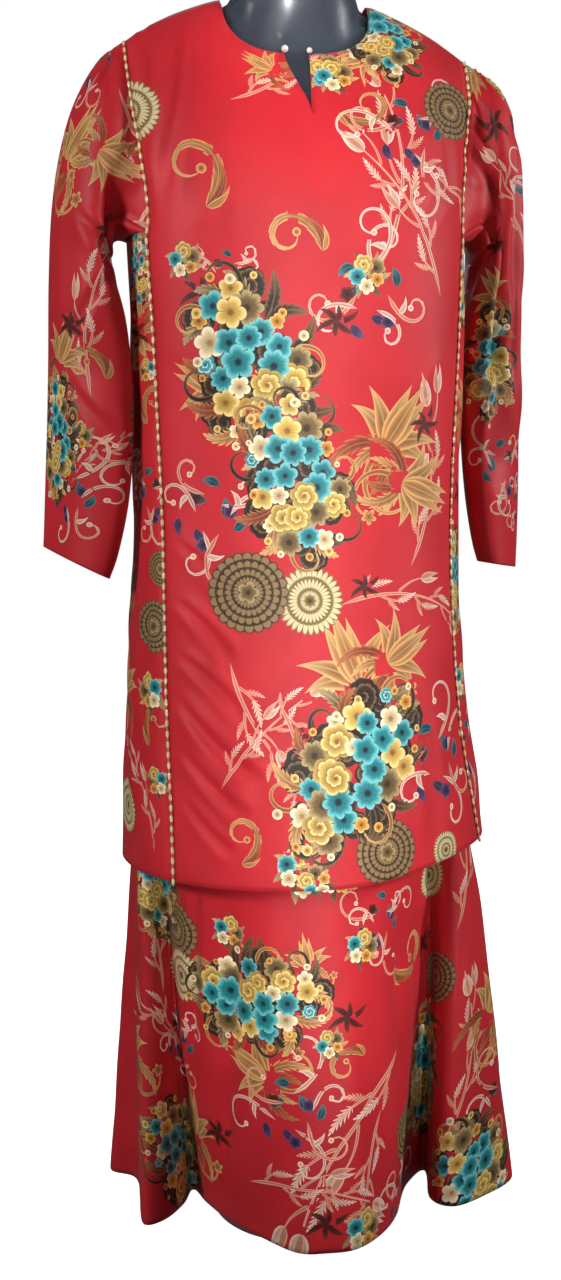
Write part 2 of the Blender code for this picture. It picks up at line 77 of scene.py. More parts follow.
# Rows and columns, for faces of about 6 mm
HALF_COLUMNS = 32
SLIT_ROWS = 20
HEM_ROW = -3              # the grid's row that carries a hem's stitches
CUFF_SLANT = 0.08         # more than a cuff drops below its outer end
CHEST_ROWS = 30
LOWER_ROWS = 118
GORE_COLUMNS = 16
SLEEVE_STEPS = 10         # between two rings of the table
SKIRT_COLUMNS = 380
HIDDEN_ROWS = 22
SHOWN_ROWS = 76

TUNIC = {
    "z":          [0.430, 0.520, 0.620, 0.740, 0.850, 0.950, 1.060, 1.170],
    "seam_right": [0.168, 0.168, 0.169, 0.168, 0.168, 0.170, 0.174, 0.180],
    "seam_left":  [0.209, 0.190, 0.175, 0.168, 0.167, 0.170, 0.175, 0.181],
    "side_right": [0.214, 0.210, 0.204, 0.197, 0.192, 0.190, 0.191, 0.195],
    "side_left":  [0.230, 0.220, 0.204, 0.195, 0.193, 0.193, 0.194, 0.196],
    "front":      [0.192, 0.178, 0.160, 0.140, 0.128, 0.124, 0.128, 0.126],
    "back":       [0.165, 0.156, 0.145, 0.132, 0.120, 0.108, 0.106, 0.106],
    "square":     [2.05, 2.05, 2.10, 2.20, 2.30, 2.40, 2.50, 2.60],
}
SHOULDER = {
    "x": [0.000, 0.085, 0.120, 0.160, 0.195, 0.215],
    "z": [1.452, 1.437, 1.425, 1.407, 1.385, 1.370],
}
SHOULDER_END = {-1: 0.194, 1: 0.202}
SLEEVES = {
    -1: {
        "outer_x": [0.222, 0.250, 0.268, 0.278, 0.283, 0.286, 0.289, 0.292, 0.295, 0.297],
        "outer_z": [1.364, 1.318, 1.262, 1.200, 1.120, 1.040, 0.960, 0.900, 0.850, 0.822],
        "inner_x": [0.210, 0.212, 0.207, 0.199, 0.195, 0.194, 0.196, 0.202, 0.215, 0.225],
        "inner_z": [1.166, 1.148, 1.115, 1.075, 1.030, 0.980, 0.925, 0.870, 0.815, 0.787],
        "depth":   [0.061, 0.063, 0.063, 0.061, 0.057, 0.053, 0.048, 0.044, 0.040, 0.038],
        "behind":  [0.004, 0.008, 0.012, 0.015, 0.018, 0.021, 0.023, 0.025, 0.026, 0.026],
        "before":  [0.004, 0.008, 0.014, 0.020, 0.025, 0.028, 0.030, 0.031, 0.031, 0.030],
    },
    1: {
        "outer_x": [0.230, 0.254, 0.266, 0.272, 0.276, 0.278, 0.279, 0.280, 0.280, 0.279],
        "outer_z": [1.362, 1.322, 1.268, 1.200, 1.120, 1.040, 0.960, 0.890, 0.825, 0.787],
        "inner_x": [0.211, 0.213, 0.209, 0.203, 0.200, 0.199, 0.200, 0.205, 0.213, 0.220],
        "inner_z": [1.166, 1.148, 1.115, 1.075, 1.030, 0.980, 0.925, 0.870, 0.822, 0.797],
        "depth":   [0.061, 0.063, 0.063, 0.061, 0.057, 0.053, 0.048, 0.044, 0.040, 0.038],
        "behind":  [0.004, 0.006, 0.009, 0.012, 0.015, 0.018, 0.021, 0.023, 0.024, 0.024],
        "before":  [0.004, 0.004, 0.006, 0.010, 0.014, 0.018, 0.021, 0.023, 0.024, 0.024],
    },
}
GUSSET_RINGS = 2
FOLDS = [
    # knee x, knee y, hem x, hem y, once round from the middle of the front
    (-0.010, -0.163, -0.010, -0.196),
    (-0.058, -0.152, -0.044, -0.188),
    (-0.102, -0.126, -0.080, -0.146),
    (-0.140, -0.094, -0.106, -0.104),
    (-0.163, -0.068, -0.127, -0.058),
    (-0.171, -0.044, -0.138, -0.022),
    (-0.181, -0.050, -0.154, -0.056),
    (-0.191, -0.056, -0.182, -0.090),
    (-0.199, -0.046, -0.207, -0.094),
    (-0.198, -0.016, -0.204, -0.030),
    (-0.201, 0.006, -0.206, 0.022),
    (-0.202, 0.028, -0.232, 0.050),
    (-0.188, 0.062, -0.214, 0.104),
    (-0.152, 0.082, -0.160, 0.104),
    (-0.124, 0.110, -0.138, 0.168),
    (-0.084, 0.132, -0.090, 0.188),
    (-0.046, 0.130, -0.048, 0.146),
    (0.000, 0.146, 0.000, 0.196),
    (0.046, 0.144, 0.052, 0.192),
    (0.080, 0.126, 0.086, 0.144),
    (0.116, 0.132, 0.134, 0.178),
    (0.152, 0.102, 0.184, 0.130),
    (0.164, 0.076, 0.170, 0.080),
    (0.198, 0.050, 0.230, 0.056),
    (0.211, -0.002, 0.258, -0.006),
    (0.207, -0.044, 0.251, -0.074),
    (0.194, -0.066, 0.204, -0.112),
    (0.178, -0.074, 0.160, -0.130),
    (0.163, -0.066, 0.138, -0.104),
    (0.153, -0.046, 0.151, -0.034),
    (0.139, -0.066, 0.120, -0.062),
    (0.110, -0.108, 0.090, -0.128),
    (0.074, -0.138, 0.060, -0.168),
    (0.032, -0.158, 0.024, -0.194),
]
SIDE_SEAM_RIGHT = 11.5
SIDE_SEAM_LEFT = 24.0

# Creases placed one by one: where each starts and ends on its piece's cut, in metres,
# how far it bows sideways, its half width, and its depth. A negative depth is a
# trough with raised banks, a positive one a ridge.
CREASES = {
    "front_panel": [
        # u, v, u, v, bow, half width, depth
        (-0.172, 1.43, -0.176, 1.28, 0.006, 0.009, -0.0040),
        (-0.128, 1.42, -0.172, 1.20, 0.004, 0.012, -0.0044),
        (-0.106, 1.42, -0.118, 1.34, 0.003, 0.008, -0.0034),
        (-0.186, 1.39, -0.182, 1.36, 0.0, 0.005, -0.0016),
        (-0.108, 1.22, -0.130, 1.17, 0.0, 0.008, 0.0022),
        (-0.088, 1.20, -0.100, 1.16, 0.0, 0.007, 0.0016),
        (-0.164, 0.830, -0.112, 0.780, 0.006, 0.008, -0.0032),
        (-0.164, 0.765, -0.104, 0.700, 0.005, 0.009, -0.0046),
        (-0.165, 0.705, -0.092, 0.640, 0.004, 0.009, -0.0040),
        (-0.166, 0.655, -0.076, 0.570, -0.006, 0.011, -0.0054),
        (-0.166, 0.600, -0.090, 0.530, -0.004, 0.009, -0.0044),
        (-0.167, 0.545, -0.110, 0.490, -0.003, 0.008, -0.0036),
        (0.150, 1.33, 0.165, 1.20, 0.004, 0.010, -0.0026),
        (0.120, 1.16, 0.160, 1.22, 0.004, 0.011, -0.0022),
        (0.100, 0.98, 0.155, 1.04, 0.0, 0.012, 0.0026),
        (-0.100, 0.99, -0.158, 1.05, 0.0, 0.012, 0.0024),
        (0.060, 0.60, 0.050, 0.47, 0.004, 0.020, 0.0030),
        (0.120, 0.64, 0.135, 0.48, 0.004, 0.018, -0.0030),
        (-0.030, 0.58, -0.024, 0.46, 0.0, 0.022, -0.0026),
        (0.000, 1.22, 0.006, 1.12, 0.0, 0.014, 0.0016),
    ],
    "back_panel": [
        (-0.140, 1.41, -0.168, 1.22, 0.006, 0.012, -0.0028),
        (0.146, 1.41, 0.170, 1.25, -0.005, 0.011, -0.0030),
        (0.150, 1.18, 0.090, 1.08, 0.004, 0.012, -0.0026),
        (-0.152, 1.16, -0.096, 1.05, -0.004, 0.013, -0.0024),
        (-0.090, 0.98, 0.020, 0.955, 0.006, 0.014, 0.0026),
        (0.020, 1.00, 0.120, 0.965, -0.006, 0.013, 0.0030),
        (-0.146, 0.78, -0.080, 0.62, -0.008, 0.013, -0.0040),
        (0.148, 0.72, 0.085, 0.56, 0.008, 0.014, -0.0038),
        (-0.040, 0.64, -0.052, 0.46, 0.0, 0.020, 0.0030),
        (0.036, 0.60, 0.044, 0.46, 0.0, 0.018, -0.0030),
    ],
    "side_gore_right": [
        (0.030, 1.15, 0.045, 0.90, 0.003, 0.012, -0.0040),
        (0.080, 1.08, 0.070, 0.84, 0.0, 0.012, 0.0030),
        (0.025, 0.78, 0.050, 0.52, 0.004, 0.013, -0.0040),
        (0.120, 0.80, 0.100, 0.50, 0.0, 0.016, -0.0034),
    ],
    "side_gore_left": [
        (0.028, 1.14, 0.040, 0.92, 0.003, 0.012, -0.0036),
        (0.090, 1.06, 0.078, 0.80, 0.0, 0.013, 0.0032),
        (0.030, 0.74, 0.042, 0.50, 0.004, 0.012, -0.0036),
        (0.110, 0.84, 0.120, 0.50, 0.0, 0.015, -0.0036),
    ],
    "sleeve_right": [
        (0.020, 0.00, 0.060, -0.10, 0.004, 0.010, -0.0024),
        (0.120, -0.02, 0.150, -0.16, 0.004, 0.009, -0.0042),
        (0.170, -0.06, 0.120, -0.20, 0.006, 0.010, -0.0042),
        (0.060, -0.22, 0.118, -0.30, 0.006, 0.011, -0.0038),
        (0.118, -0.27, 0.050, -0.36, -0.006, 0.010, -0.0036),
        (0.040, -0.40, 0.096, -0.47, 0.004, 0.010, -0.0030),
        (0.020, -0.14, 0.030, -0.46, 0.006, 0.014, 0.0026),
        (-0.060, -0.04, -0.120, -0.16, 0.004, 0.011, -0.0038),
        (-0.050, -0.24, -0.110, -0.33, 0.004, 0.011, -0.0036),
        (-0.040, -0.38, -0.090, -0.46, 0.0, 0.010, -0.0030),
    ],
    "sleeve_left": [
        (0.040, -0.01, 0.030, -0.11, 0.004, 0.008, -0.0046),
        (0.110, -0.02, 0.104, -0.10, 0.004, 0.008, -0.0034),
        (0.030, -0.11, 0.044, -0.30, 0.010, 0.011, -0.0062),
        (0.044, -0.28, 0.030, -0.46, 0.004, 0.010, -0.0050),
        (0.160, -0.06, 0.090, -0.18, 0.006, 0.010, -0.0046),
        (0.090, -0.22, 0.140, -0.30, 0.004, 0.012, -0.0040),
        (0.070, -0.36, 0.110, -0.46, 0.004, 0.011, -0.0030),
        (-0.060, -0.05, -0.126, -0.17, 0.004, 0.011, -0.0038),
        (-0.056, -0.25, -0.104, -0.35, 0.004, 0.011, -0.0036),
        (-0.030, -0.40, -0.080, -0.47, 0.0, 0.010, -0.0028),
    ],
    "skirt_front": [
        (-0.060, 0.45, -0.085, 0.10, 0.006, 0.022, 0.0034),
        (0.070, 0.40, 0.100, 0.05, 0.004, 0.020, 0.0036),
        (0.010, 0.30, 0.006, 0.05, 0.0, 0.026, -0.0026),
        (-0.150, 0.44, -0.190, 0.20, 0.006, 0.013, -0.0040),
        (0.180, 0.44, 0.230, 0.18, -0.006, 0.013, -0.0040),
        (0.300, 0.44, 0.400, 0.12, 0.006, 0.014, 0.0034),
        (-0.290, 0.42, -0.330, 0.12, 0.004, 0.013, 0.0034),
    ],
    "skirt_back": [
        (-0.300, 0.44, -0.380, 0.12, 0.006, 0.016, 0.0036),
        (-0.120, 0.42, -0.160, 0.10, 0.004, 0.018, -0.0036),
        (0.060, 0.42, 0.070, 0.08, 0.006, 0.018, 0.0036),
        (0.240, 0.44, 0.320, 0.12, 0.004, 0.016, -0.0036),
    ],
}

# Broad dips without banks, given in the same columns
HOLLOWS = {
    "sleeve_left": [
        (0.104, -0.08, 0.080, -0.20, 0.010, 0.026, 0.014),
        (0.080, -0.17, 0.072, -0.40, 0.004, 0.028, 0.022),
        (0.072, -0.34, 0.080, -0.52, 0.000, 0.026, 0.014),
    ],
    "sleeve_right": [
        (0.128, -0.10, 0.100, -0.30, 0.006, 0.018, 0.010),
        (0.104, -0.26, 0.090, -0.42, 0.000, 0.018, 0.006),
    ],
    "skirt_front": [
        (-0.100, 0.42, -0.150, 0.06, 0.004, 0.012, 0.006),
        (0.112, 0.42, 0.150, 0.06, -0.004, 0.012, 0.006),
    ],
}

# The print's colours: the dark heart, the body and the light rim of each kind of motif
PALETTE = [
    ("teal",      "06242C", "1B8C94", "86D8DA"),
    ("yellow",    "9A5E1A", "E6B957", "F8E3A2"),
    ("cream",     "B87A44", "F2D9A6", "FFF6DE"),
    ("khaki",     "3A2814", "80643A", "C4AC78"),
    ("maroon",    "240806", "4E120E", "7E2A1C"),
    ("orange",    "8A3E10", "DC9438", "F6CC70"),
    ("dark leaf", "160A08", "3A241A", "8A6A44"),
    ("gold",      "8A4A20", "C08048", "EBC07E"),
    ("salmon",    "DC6E58", "F4A084", "FBC6A8"),
    ("pink",      "E49A84", "F6C6AE", "FEE8D8"),
    ("purple",    "160F28", "3A2850", "74507A"),
    ("navy leaf", "08202C", "1C4A58", "4A8C92"),
    ("medallion", "1C120C", "402C1C", "947850"),
    ("sunburst",  "4A3420", "84683E", "DECF9E"),
    ("pale teal", "0E5660", "48B8BE", "E8F8F4"),
    ("brown red", "6E1A10", "9A4428", "C8804A"),
]
COLOUR = {row[0]: number for number, row in enumerate(PALETTE)}

# Shapes of the print. Petals, notch and blunt shape a round motif's edge, rings are
# the layers inside it, and lace turns it into filigree. Leaves and stems follow a
# path: taper shapes a stem, teeth and bite a leaf's edge, a low skew moves its widest
# place towards its root and a high point sharpens its end.
SHAPES = [
    # name, petals, notch, blunt, rings, heart, lace, path, taper, teeth, bite, skew, point
    ("none",      0, 0.00, 1.0, 1, 0.00, 0, 0, 0, 0, 0.00, 1.0, 1.0),
    ("flower",    5, 0.34, 0.7, 1, 0.20, 0, 0, 0, 0, 0.00, 1.0, 1.0),
    ("rose",      6, 0.22, 0.7, 2, 0.14, 0, 0, 0, 0, 0.00, 1.0, 1.0),
    ("medallion", 24, 0.05, 1.0, 5, 0.10, 1, 0, 0, 0, 0.00, 1.0, 1.0),
    ("sunburst",  32, 0.12, 1.0, 3, 0.10, 1, 0, 0, 0, 0.00, 1.0, 1.0),
    ("star",      5, 0.58, 1.0, 1, 0.14, 0, 0, 0, 0, 0.00, 1.0, 1.0),
    ("leaf",      0, 0.00, 1.0, 1, 0.00, 0, 1, 0, 0, 0.00, 0.8, 1.0),
    ("acanthus",  0, 0.00, 1.0, 1, 0.00, 0, 1, 0, 7, 0.50, 0.7, 0.7),
    ("stem",      0, 0.00, 1.0, 1, 0.00, 0, 1, 1, 0, 0.00, 1.0, 1.0),
    ("bud",       0, 0.00, 1.0, 1, 0.25, 0, 0, 0, 0, 0.00, 1.0, 1.0),
    ("plume",     0, 0.00, 1.0, 1, 0.00, 0, 1, 0, 9, 0.22, 0.5, 0.9),
    ("ear",       0, 0.00, 1.0, 1, 0.00, 0, 1, 0, 6, 0.85, 0.6, 0.6),
    ("flame",     0, 0.00, 1.0, 1, 0.00, 0, 1, 0, 0, 0.00, 0.6, 1.2),
    ("volute",    9, 0.08, 1.0, 2, 0.12, 0, 0, 0, 0, 0.00, 1.0, 1.0),
    ("daisy",     8, 0.26, 0.8, 1, 0.22, 0, 0, 0, 0, 0.00, 1.0, 1.0),
]
SHAPE = {row[0]: number for number, row in enumerate(SHAPES)}
LAYERS = 5                # motifs that may lie on one face


def read(table, column, at, key="z"):
    """Smooth value of a table's column: a cubic through its rows."""
    places = table[key]
    values = table[column]
    last = len(places) - 1
    at = min(max(at, places[0]), places[last])
    row = 0
    while row < last - 1 and at > places[row + 1]:
        row += 1

    def slope(index):
        low = max(index - 1, 0)
        high = min(index + 1, last)
        return (values[high] - values[low]) / (places[high] - places[low])

    span = places[row + 1] - places[row]
    t = (at - places[row]) / span
    start = values[row] * (1 + 2 * t) * (1 - t) ** 2 + slope(row) * span * t * (1 - t) ** 2
    end = values[row + 1] * t * t * (3 - 2 * t) + slope(row + 1) * span * t * t * (t - 1)
    return start + end


def smooth(t):
    t = min(max(t, 0.0), 1.0)
    return t * t * (3 - 2 * t)


def mix(a, b, t):
    return a + (b - a) * t


def side_name(side):
    return "right" if side < 0 else "left"


def depth_share(share, z, side):
    seam = read(TUNIC, "seam_" + side_name(side), z)
    edge = read(TUNIC, "side_" + side_name(side), z)
    square = read(TUNIC, "square", z)
    return max(0.0, 1 - (share * seam / edge) ** square) ** (1 / square)


def lower_point(s, z, facing):
    side = -1 if s < 0 else 1
    x = s * read(TUNIC, "seam_" + side_name(side), z)
    deep = read(TUNIC, "front" if facing < 0 else "back", z)
    return (x, facing * deep * depth_share(abs(s), z, side), z)


def top_edge(s, side, facing):
    """A panel's top edge: the neckline near the middle, then the shoulder line."""
    share = abs(s)
    if share >= NECK_SHARE:
        x = mix(NECK_HALF, SHOULDER_END[side], (share - NECK_SHARE) / (1 - NECK_SHARE))
        return side * x, 0.0, read(SHOULDER, "z", x, "x")
    turn = share / NECK_SHARE * math.pi / 2
    drop = FRONT_DROP if facing < 0 else BACK_DROP
    deep = FRONT_NECK_Y if facing < 0 else BACK_NECK_Y
    start = SLIT_CORNER[side] if facing < 0 else 0.0
    x = start + (side * NECK_HALF - start) * math.sin(turn) ** 0.78
    return x, deep * max(math.cos(turn), 0.0) ** 0.85, NECK_TOP - drop * max(math.cos(turn), 0.0) ** 0.78


def upper_point(s, fraction, side, facing):
    top_x, top_y, top_z = top_edge(s, side, facing)
    low_x = s * read(TUNIC, "seam_" + side_name(side), ARM_Z)
    deep = read(TUNIC, "front" if facing < 0 else "back", ARM_Z)
    low_y = deep * depth_share(abs(s), ARM_Z, side)
    share = min(abs(s) / NECK_SHARE, 1.0)
    settle = mix(SLIT_FRACTION, 1.0, share) if facing < 0 else 1.0
    bend = mix(0.92, 0.72, share)
    x = mix(top_x, low_x, smooth(fraction / settle))
    y = mix(top_y, low_y, math.sin(fraction * math.pi / 2) ** bend)
    return (x, facing * y, mix(top_z, ARM_Z, fraction))


def lengths(points, axis):
    """Length along rows or columns of a grid of points, from its first point."""
    steps = np.linalg.norm(np.diff(points, axis=axis), axis=2)
    start = np.zeros_like(np.take(steps, [0], axis=axis))
    return np.concatenate([start, np.cumsum(steps, axis=axis)], axis=axis)


def half_panel(side, facing):
    """Points and cut coordinates of half a body panel, from its middle outwards."""
    fractions = np.linspace(0, SLIT_FRACTION, SLIT_ROWS + 1)
    fractions = np.append(fractions, np.linspace(SLIT_FRACTION, 1, CHEST_ROWS + 1)[1:])
    shares = np.arange(HALF_COLUMNS + 1) / HALF_COLUMNS
    rows = [[upper_point(side * s, f, side, facing) for s in shares] for f in fractions]
    for step in range(1, LOWER_ROWS + 1):
        row = []
        for s in shares:
            hem = TUNIC_HEM + HEM_RISE_LEFT * smooth(side * s * 0.19 / 0.20)
            row.append(lower_point(side * max(s, 1e-9), mix(ARM_Z, hem, step / LOWER_ROWS), facing))
        rows.append(row)
    points = np.array(rows)
    points[np.abs(points[:, :, 0]) < 1e-7, 0] = 0.0
    last = len(fractions) - 1
    across = lengths(points, 1)
    spread = across[last] - np.abs(points[last, :, 0])
    u = across.copy()
    u[:last] = np.abs(points[:last, :, 0]) + spread * fractions[:last, None]
    if facing < 0:
        middle = points[:last, 0, 0] * side
        u[:last, 0] = middle
    down = lengths(points, 0)
    v = ARM_Z - (down - down[last])
    v[last:] = points[last:, :, 2]
    return points, np.stack([side * u, v], axis=2)


def gore(side, front, back):
    """Side gore: from the front panel's edge round the side to the back panel's."""
    first = SLIT_ROWS + CHEST_ROWS
    rows = []
    for start, end in zip(front[first:, -1], back[first:, -1]):
        z = start[2]
        edge = read(TUNIC, "side_" + side_name(side), z)
        seam = read(TUNIC, "seam_" + side_name(side), z)
        square = read(TUNIC, "square", z)
        turn = math.asin((seam / edge) ** (square / 2))
        line = [start]
        for i in range(1, GORE_COLUMNS):
            angle = mix(turn, math.pi - turn, i / GORE_COLUMNS)
            deep = read(TUNIC, "front" if angle < math.pi / 2 else "back", z)
            x = side * edge * math.sin(angle) ** (2 / square)
            y = -math.copysign(abs(math.cos(angle)) ** (2 / square), math.cos(angle)) * deep
            line.append(np.array((x, y, z)))
        line.append(end)
        rows.append(line)
    points = np.array(rows)
    return points, np.stack([lengths(points, 1), points[:, :, 2]], axis=2)


def through(rings, steps):
    """Rings eased in between by a curve through every column (Catmull-Rom)."""
    rings = np.array(rings)
    padded = np.concatenate([2 * rings[:1] - rings[1:2], rings, 2 * rings[-1:] - rings[-2:-1]])
    fine = []
    for i in range(len(rings) - 1):
        p0, p1, p2, p3 = padded[i:i + 4]
        for t in np.arange(steps) / steps:
            fine.append(0.5 * (2 * p1 + (p2 - p0) * t + (2 * p0 - 5 * p1 + 4 * p2 - p3) * t ** 2
                               + (3 * p1 - p0 - 3 * p2 + p3) * t ** 3))
    fine.append(rings[-1])
    return np.array(fine)


def sleeve(side, front, back, gore_points):
    """Sleeve rings from the armhole to the cuff, closed. Each ring starts at the top."""
    last = SLIT_ROWS + CHEST_ROWS
    armhole = np.concatenate([front[:last + 1, -1], gore_points[0, 1:-1], back[last:0:-1, -1]])
    steps = np.linalg.norm(np.roll(armhole, -1, axis=0) - armhole, axis=1)
    along = np.concatenate([[0], np.cumsum(steps)[:-1]]) / steps.sum()
    table = SLEEVES[side]
    rings = [armhole]
    for row in range(len(table["depth"])):
        outer = np.array([side * table["outer_x"][row], table["behind"][row], table["outer_z"][row]])
        inner = np.array([side * table["inner_x"][row], -table["before"][row], table["inner_z"][row]])
        middle, reach = (outer + inner) / 2, (outer - inner) / 2
        angle = along[:, None] * 2 * math.pi
        ring = middle + reach * np.cos(angle)
        ring[:, 1:2] -= table["depth"][row] * np.sin(angle)
        rings.append(ring)
    fine = through(rings, SLEEVE_STEPS)
    fine = np.concatenate([fine, fine[:, :1]], axis=1)
    return fine, *sleeve_cut(side, fine)


def sleeve_cut(side, points):
    """Cut coordinates of a hanging sleeve, for its front and for its back: u round it from
    its outer edge, positive in front, and v down its length from the shoulder."""
    table = SLEEVES[side]
    z = points[:, :, 2]

    def at(column, heights):
        return np.interp(z, table[heights][::-1], table[column][::-1])

    outer = at("outer_x", "outer_z")
    inner = np.where(z > table["inner_z"][0], SHOULDER_END[side], at("inner_x", "inner_z"))
    behind, before, deep = at("behind", "outer_z"), at("before", "inner_z"), at("depth", "outer_z")
    half = np.maximum((outer - inner) / 2, 0.012)
    turn = np.arctan2(-(points[:, :, 1] - (behind - before) / 2) / deep,
                      (side * points[:, :, 0] - (outer + inner) / 2) / half)
    first = points.shape[1] // 2
    turn[:, :first + 1] += 2 * math.pi * (turn[:, :first + 1] < -math.pi / 2)
    turn[:, first:] += 2 * math.pi * (turn[:, first:] < 0)
    turn[:, -1] -= 2 * math.pi * (turn[:, -1] > math.pi)
    turn[:, -1] += 2 * math.pi
    below = (table["outer_x"][-1], table["outer_z"][-1] - CUFF_SLANT)
    edge = np.array([(SHOULDER_END[side], 1.385), *zip(table["outer_x"], table["outer_z"]), below])
    length = np.append(0, np.cumsum(np.linalg.norm(np.diff(edge, axis=0), axis=1)))
    v = -np.interp(-z, -edge[:, 1], length)
    reach = (half + deep) / 2
    return np.stack([turn * reach, v], axis=2), np.stack([(turn - 2 * math.pi) * reach, v], axis=2)


def spline(points, at):
    count = len(points)
    i = int(math.floor(at))
    t = at - i
    p0, p1, p2, p3 = (np.array(points[(i + k) % count]) for k in (-1, 0, 1, 2))
    return 0.5 * (2 * p1 + (p2 - p0) * t + (2 * p0 - 5 * p1 + 4 * p2 - p3) * t ** 2
                  + (3 * p1 - p0 - 3 * p2 + p3) * t ** 3)


def skirt_places():
    fine = np.array([spline(FOLDS, k / 20) for k in range(len(FOLDS) * 20 + 1)])
    steps = np.append(0, np.cumsum(np.linalg.norm(np.diff(fine[:, 2:], axis=0), axis=1)))
    return np.interp(np.arange(SKIRT_COLUMNS) / SKIRT_COLUMNS * steps[-1], steps,
                     np.arange(len(fine)) / 20)


def skirt_grid():
    """Rings of the skirt, closed, and the columns of its side seams."""
    places = skirt_places()
    knee = np.array([spline(FOLDS, place) for place in places])
    steps = np.linalg.norm(knee[:, :2] - np.roll(knee[:, :2], 1, axis=0), axis=1)
    turns = 2 * math.pi * (np.cumsum(steps) - steps[0]) / steps.sum()
    levels = np.linspace(SKIRT_TOP, 0.520, HIDDEN_ROWS, endpoint=False)
    levels = np.append(levels, np.linspace(0.520, SKIRT_HEM, SHOWN_ROWS + 1))
    rings = []
    for z in levels:
        loose = smooth((SKIRT_TOP - z) / (SKIRT_TOP - HIP_Z))
        x = -mix(WAIST[0], 0.171, loose) * np.sin(turns)
        y = -mix(WAIST[1], 0.112, loose) * np.cos(turns)
        height = np.full(len(turns), z)
        if z < HIP_Z:
            fall = min((HIP_Z - z) / (HIP_Z - KNEE_Z), 1.0) ** 1.25
            x, y = mix(x, knee[:, 0], fall), mix(y, knee[:, 1], fall)
        if z < KNEE_Z:
            fall = (KNEE_Z - z) / (KNEE_Z - SKIRT_HEM)
            x, y = mix(knee[:, 0], knee[:, 2], fall), mix(knee[:, 1], knee[:, 3], fall)
            hem = SKIRT_HEM + 0.004 * np.array([smooth(abs(value) / 0.2) for value in x])
            height = mix(KNEE_Z, hem, fall)
        rings.append(np.stack([x, y, height], axis=1))
    right = int(np.argmin(np.abs(places - SIDE_SEAM_RIGHT)))
    left = int(np.argmin(np.abs(places - SIDE_SEAM_LEFT)))
    return np.array(rings), right, left


def cut_line(points, zero):
    """Cut coordinates of level rows: u from the column called zero, v the height."""
    across = lengths(points, 1)
    u = across - across[:, zero:zero + 1]
    v = np.repeat(points[:, :, 2].mean(axis=1)[:, None], points.shape[1], axis=1)
    return np.stack([u, v], axis=2)


class Cloth:
    """Pieces on shared points, so that they meet at their seams and crease as one."""

    def __init__(self):
        self.grids = []
        self.sewn = {}

    def grid(self, name, points, cut, flip=False):
        self.grids.append((name, points, cut, flip))

    def quads(self, points, cut, flip, base):
        rows, columns = points.shape[:2]
        number = base + np.arange(rows * columns).reshape(rows, columns)
        corners = [number[:-1, :-1], number[1:, :-1], number[1:, 1:], number[:-1, 1:]]
        cuts = [cut[:-1, :-1], cut[1:, :-1], cut[1:, 1:], cut[:-1, 1:]]
        if flip:
            corners.reverse()
            cuts.reverse()
        return np.stack(corners, axis=-1).reshape(-1, 4), np.stack(cuts, axis=2).reshape(-1, 4, 2)

    def join(self):
        """Merges equal points and works out normals and which points lie on seams."""
        points, quads, cuts, owners = [], [], [], []
        names = sorted({grid[0] for grid in self.grids})
        base = 0
        for name, grid_points, cut, flip in self.grids:
            quad, corner_cut = self.quads(grid_points, cut, flip, base)
            points.append(grid_points.reshape(-1, 3))
            quads.append(quad)
            cuts.append(corner_cut)
            owners.append(np.full(len(quad), names.index(name)))
            base += grid_points.shape[0] * grid_points.shape[1]
        points = np.concatenate(points)
        _, first, back = np.unique(np.round(points, 6), axis=0, return_index=True, return_inverse=True)
        self.points = points[first]
        self.faces = back.reshape(-1)[np.concatenate(quads)]
        self.cuts = np.concatenate(cuts)
        self.owners = np.concatenate(owners)
        self.names = names
        low = np.full(len(self.points), len(names))
        high = np.full(len(self.points), -1)
        for corner in range(4):
            np.minimum.at(low, self.faces[:, corner], self.owners)
            np.maximum.at(high, self.faces[:, corner], self.owners)
        self.seam = low != high
        self.set_normals()

    def set_normals(self):
        corner = self.points[self.faces]
        cross = np.cross(corner[:, 2] - corner[:, 0], corner[:, 3] - corner[:, 1])
        total = np.zeros_like(self.points)
        for i in range(4):
            np.add.at(total, self.faces[:, i], cross)
        self.normals = total / np.maximum(np.linalg.norm(total, axis=1), 1e-12)[:, None]

    def crease(self):
        """Moves points along their normals into the creases, and dips the plain seams."""
        total = np.zeros(len(self.points))
        count = np.zeros(len(self.points))
        for number, name in enumerate(self.names):
            mine = self.owners == number
            place = self.cuts[mine].reshape(-1, 2)
            move = unevenness(place, number)
            for row in CREASES.get(name, []):
                move += one_crease(place, *row)
            for row in HOLLOWS.get(name, []):
                move -= one_crease(place, *row)
            np.add.at(total, self.faces[mine].reshape(-1), move)
            np.add.at(count, self.faces[mine].reshape(-1), 1)
        move = total / np.maximum(count, 1) - SEAM_DIP * self.seam
        self.points = self.points + self.normals * move[:, None]
        self.set_normals()


def unevenness(place, number):
    """Slow, slight waves of a cloth that hangs free."""
    u, v = place[:, 0] + number, place[:, 1]
    return 0.0005 * np.sin(31 * u + 9 * v) + 0.0004 * np.sin(53 * u - 17 * v + 1) \
        + 0.0003 * np.sin(23 * v + 71 * u + 2)


def one_crease(place, u0, v0, u1, v1, bow, width, depth):
    start, run = np.array((u0, v0)), np.array((u1 - u0, v1 - v0))
    long_ = np.linalg.norm(run)
    along = (place - start) @ run / long_ ** 2
    across = (place - start) @ np.array((-run[1], run[0])) / long_
    inside = np.clip(along, 0, 1)
    off = (across - bow * 4 * inside * (1 - inside)) / (width * (0.7 + 0.6 * inside))
    fade = np.clip((0.5 - np.abs(along - 0.5)) / 0.28 + 0.25, 0, 1)
    fade = fade * fade * (3 - 2 * fade)
    if depth > 0:
        return depth * np.exp(-off ** 2) * fade
    banks = (2 * off ** 2 - 1) * np.exp(-off ** 2) + 0.5 * np.exp(-off ** 2 / 4)
    return -depth * banks * fade


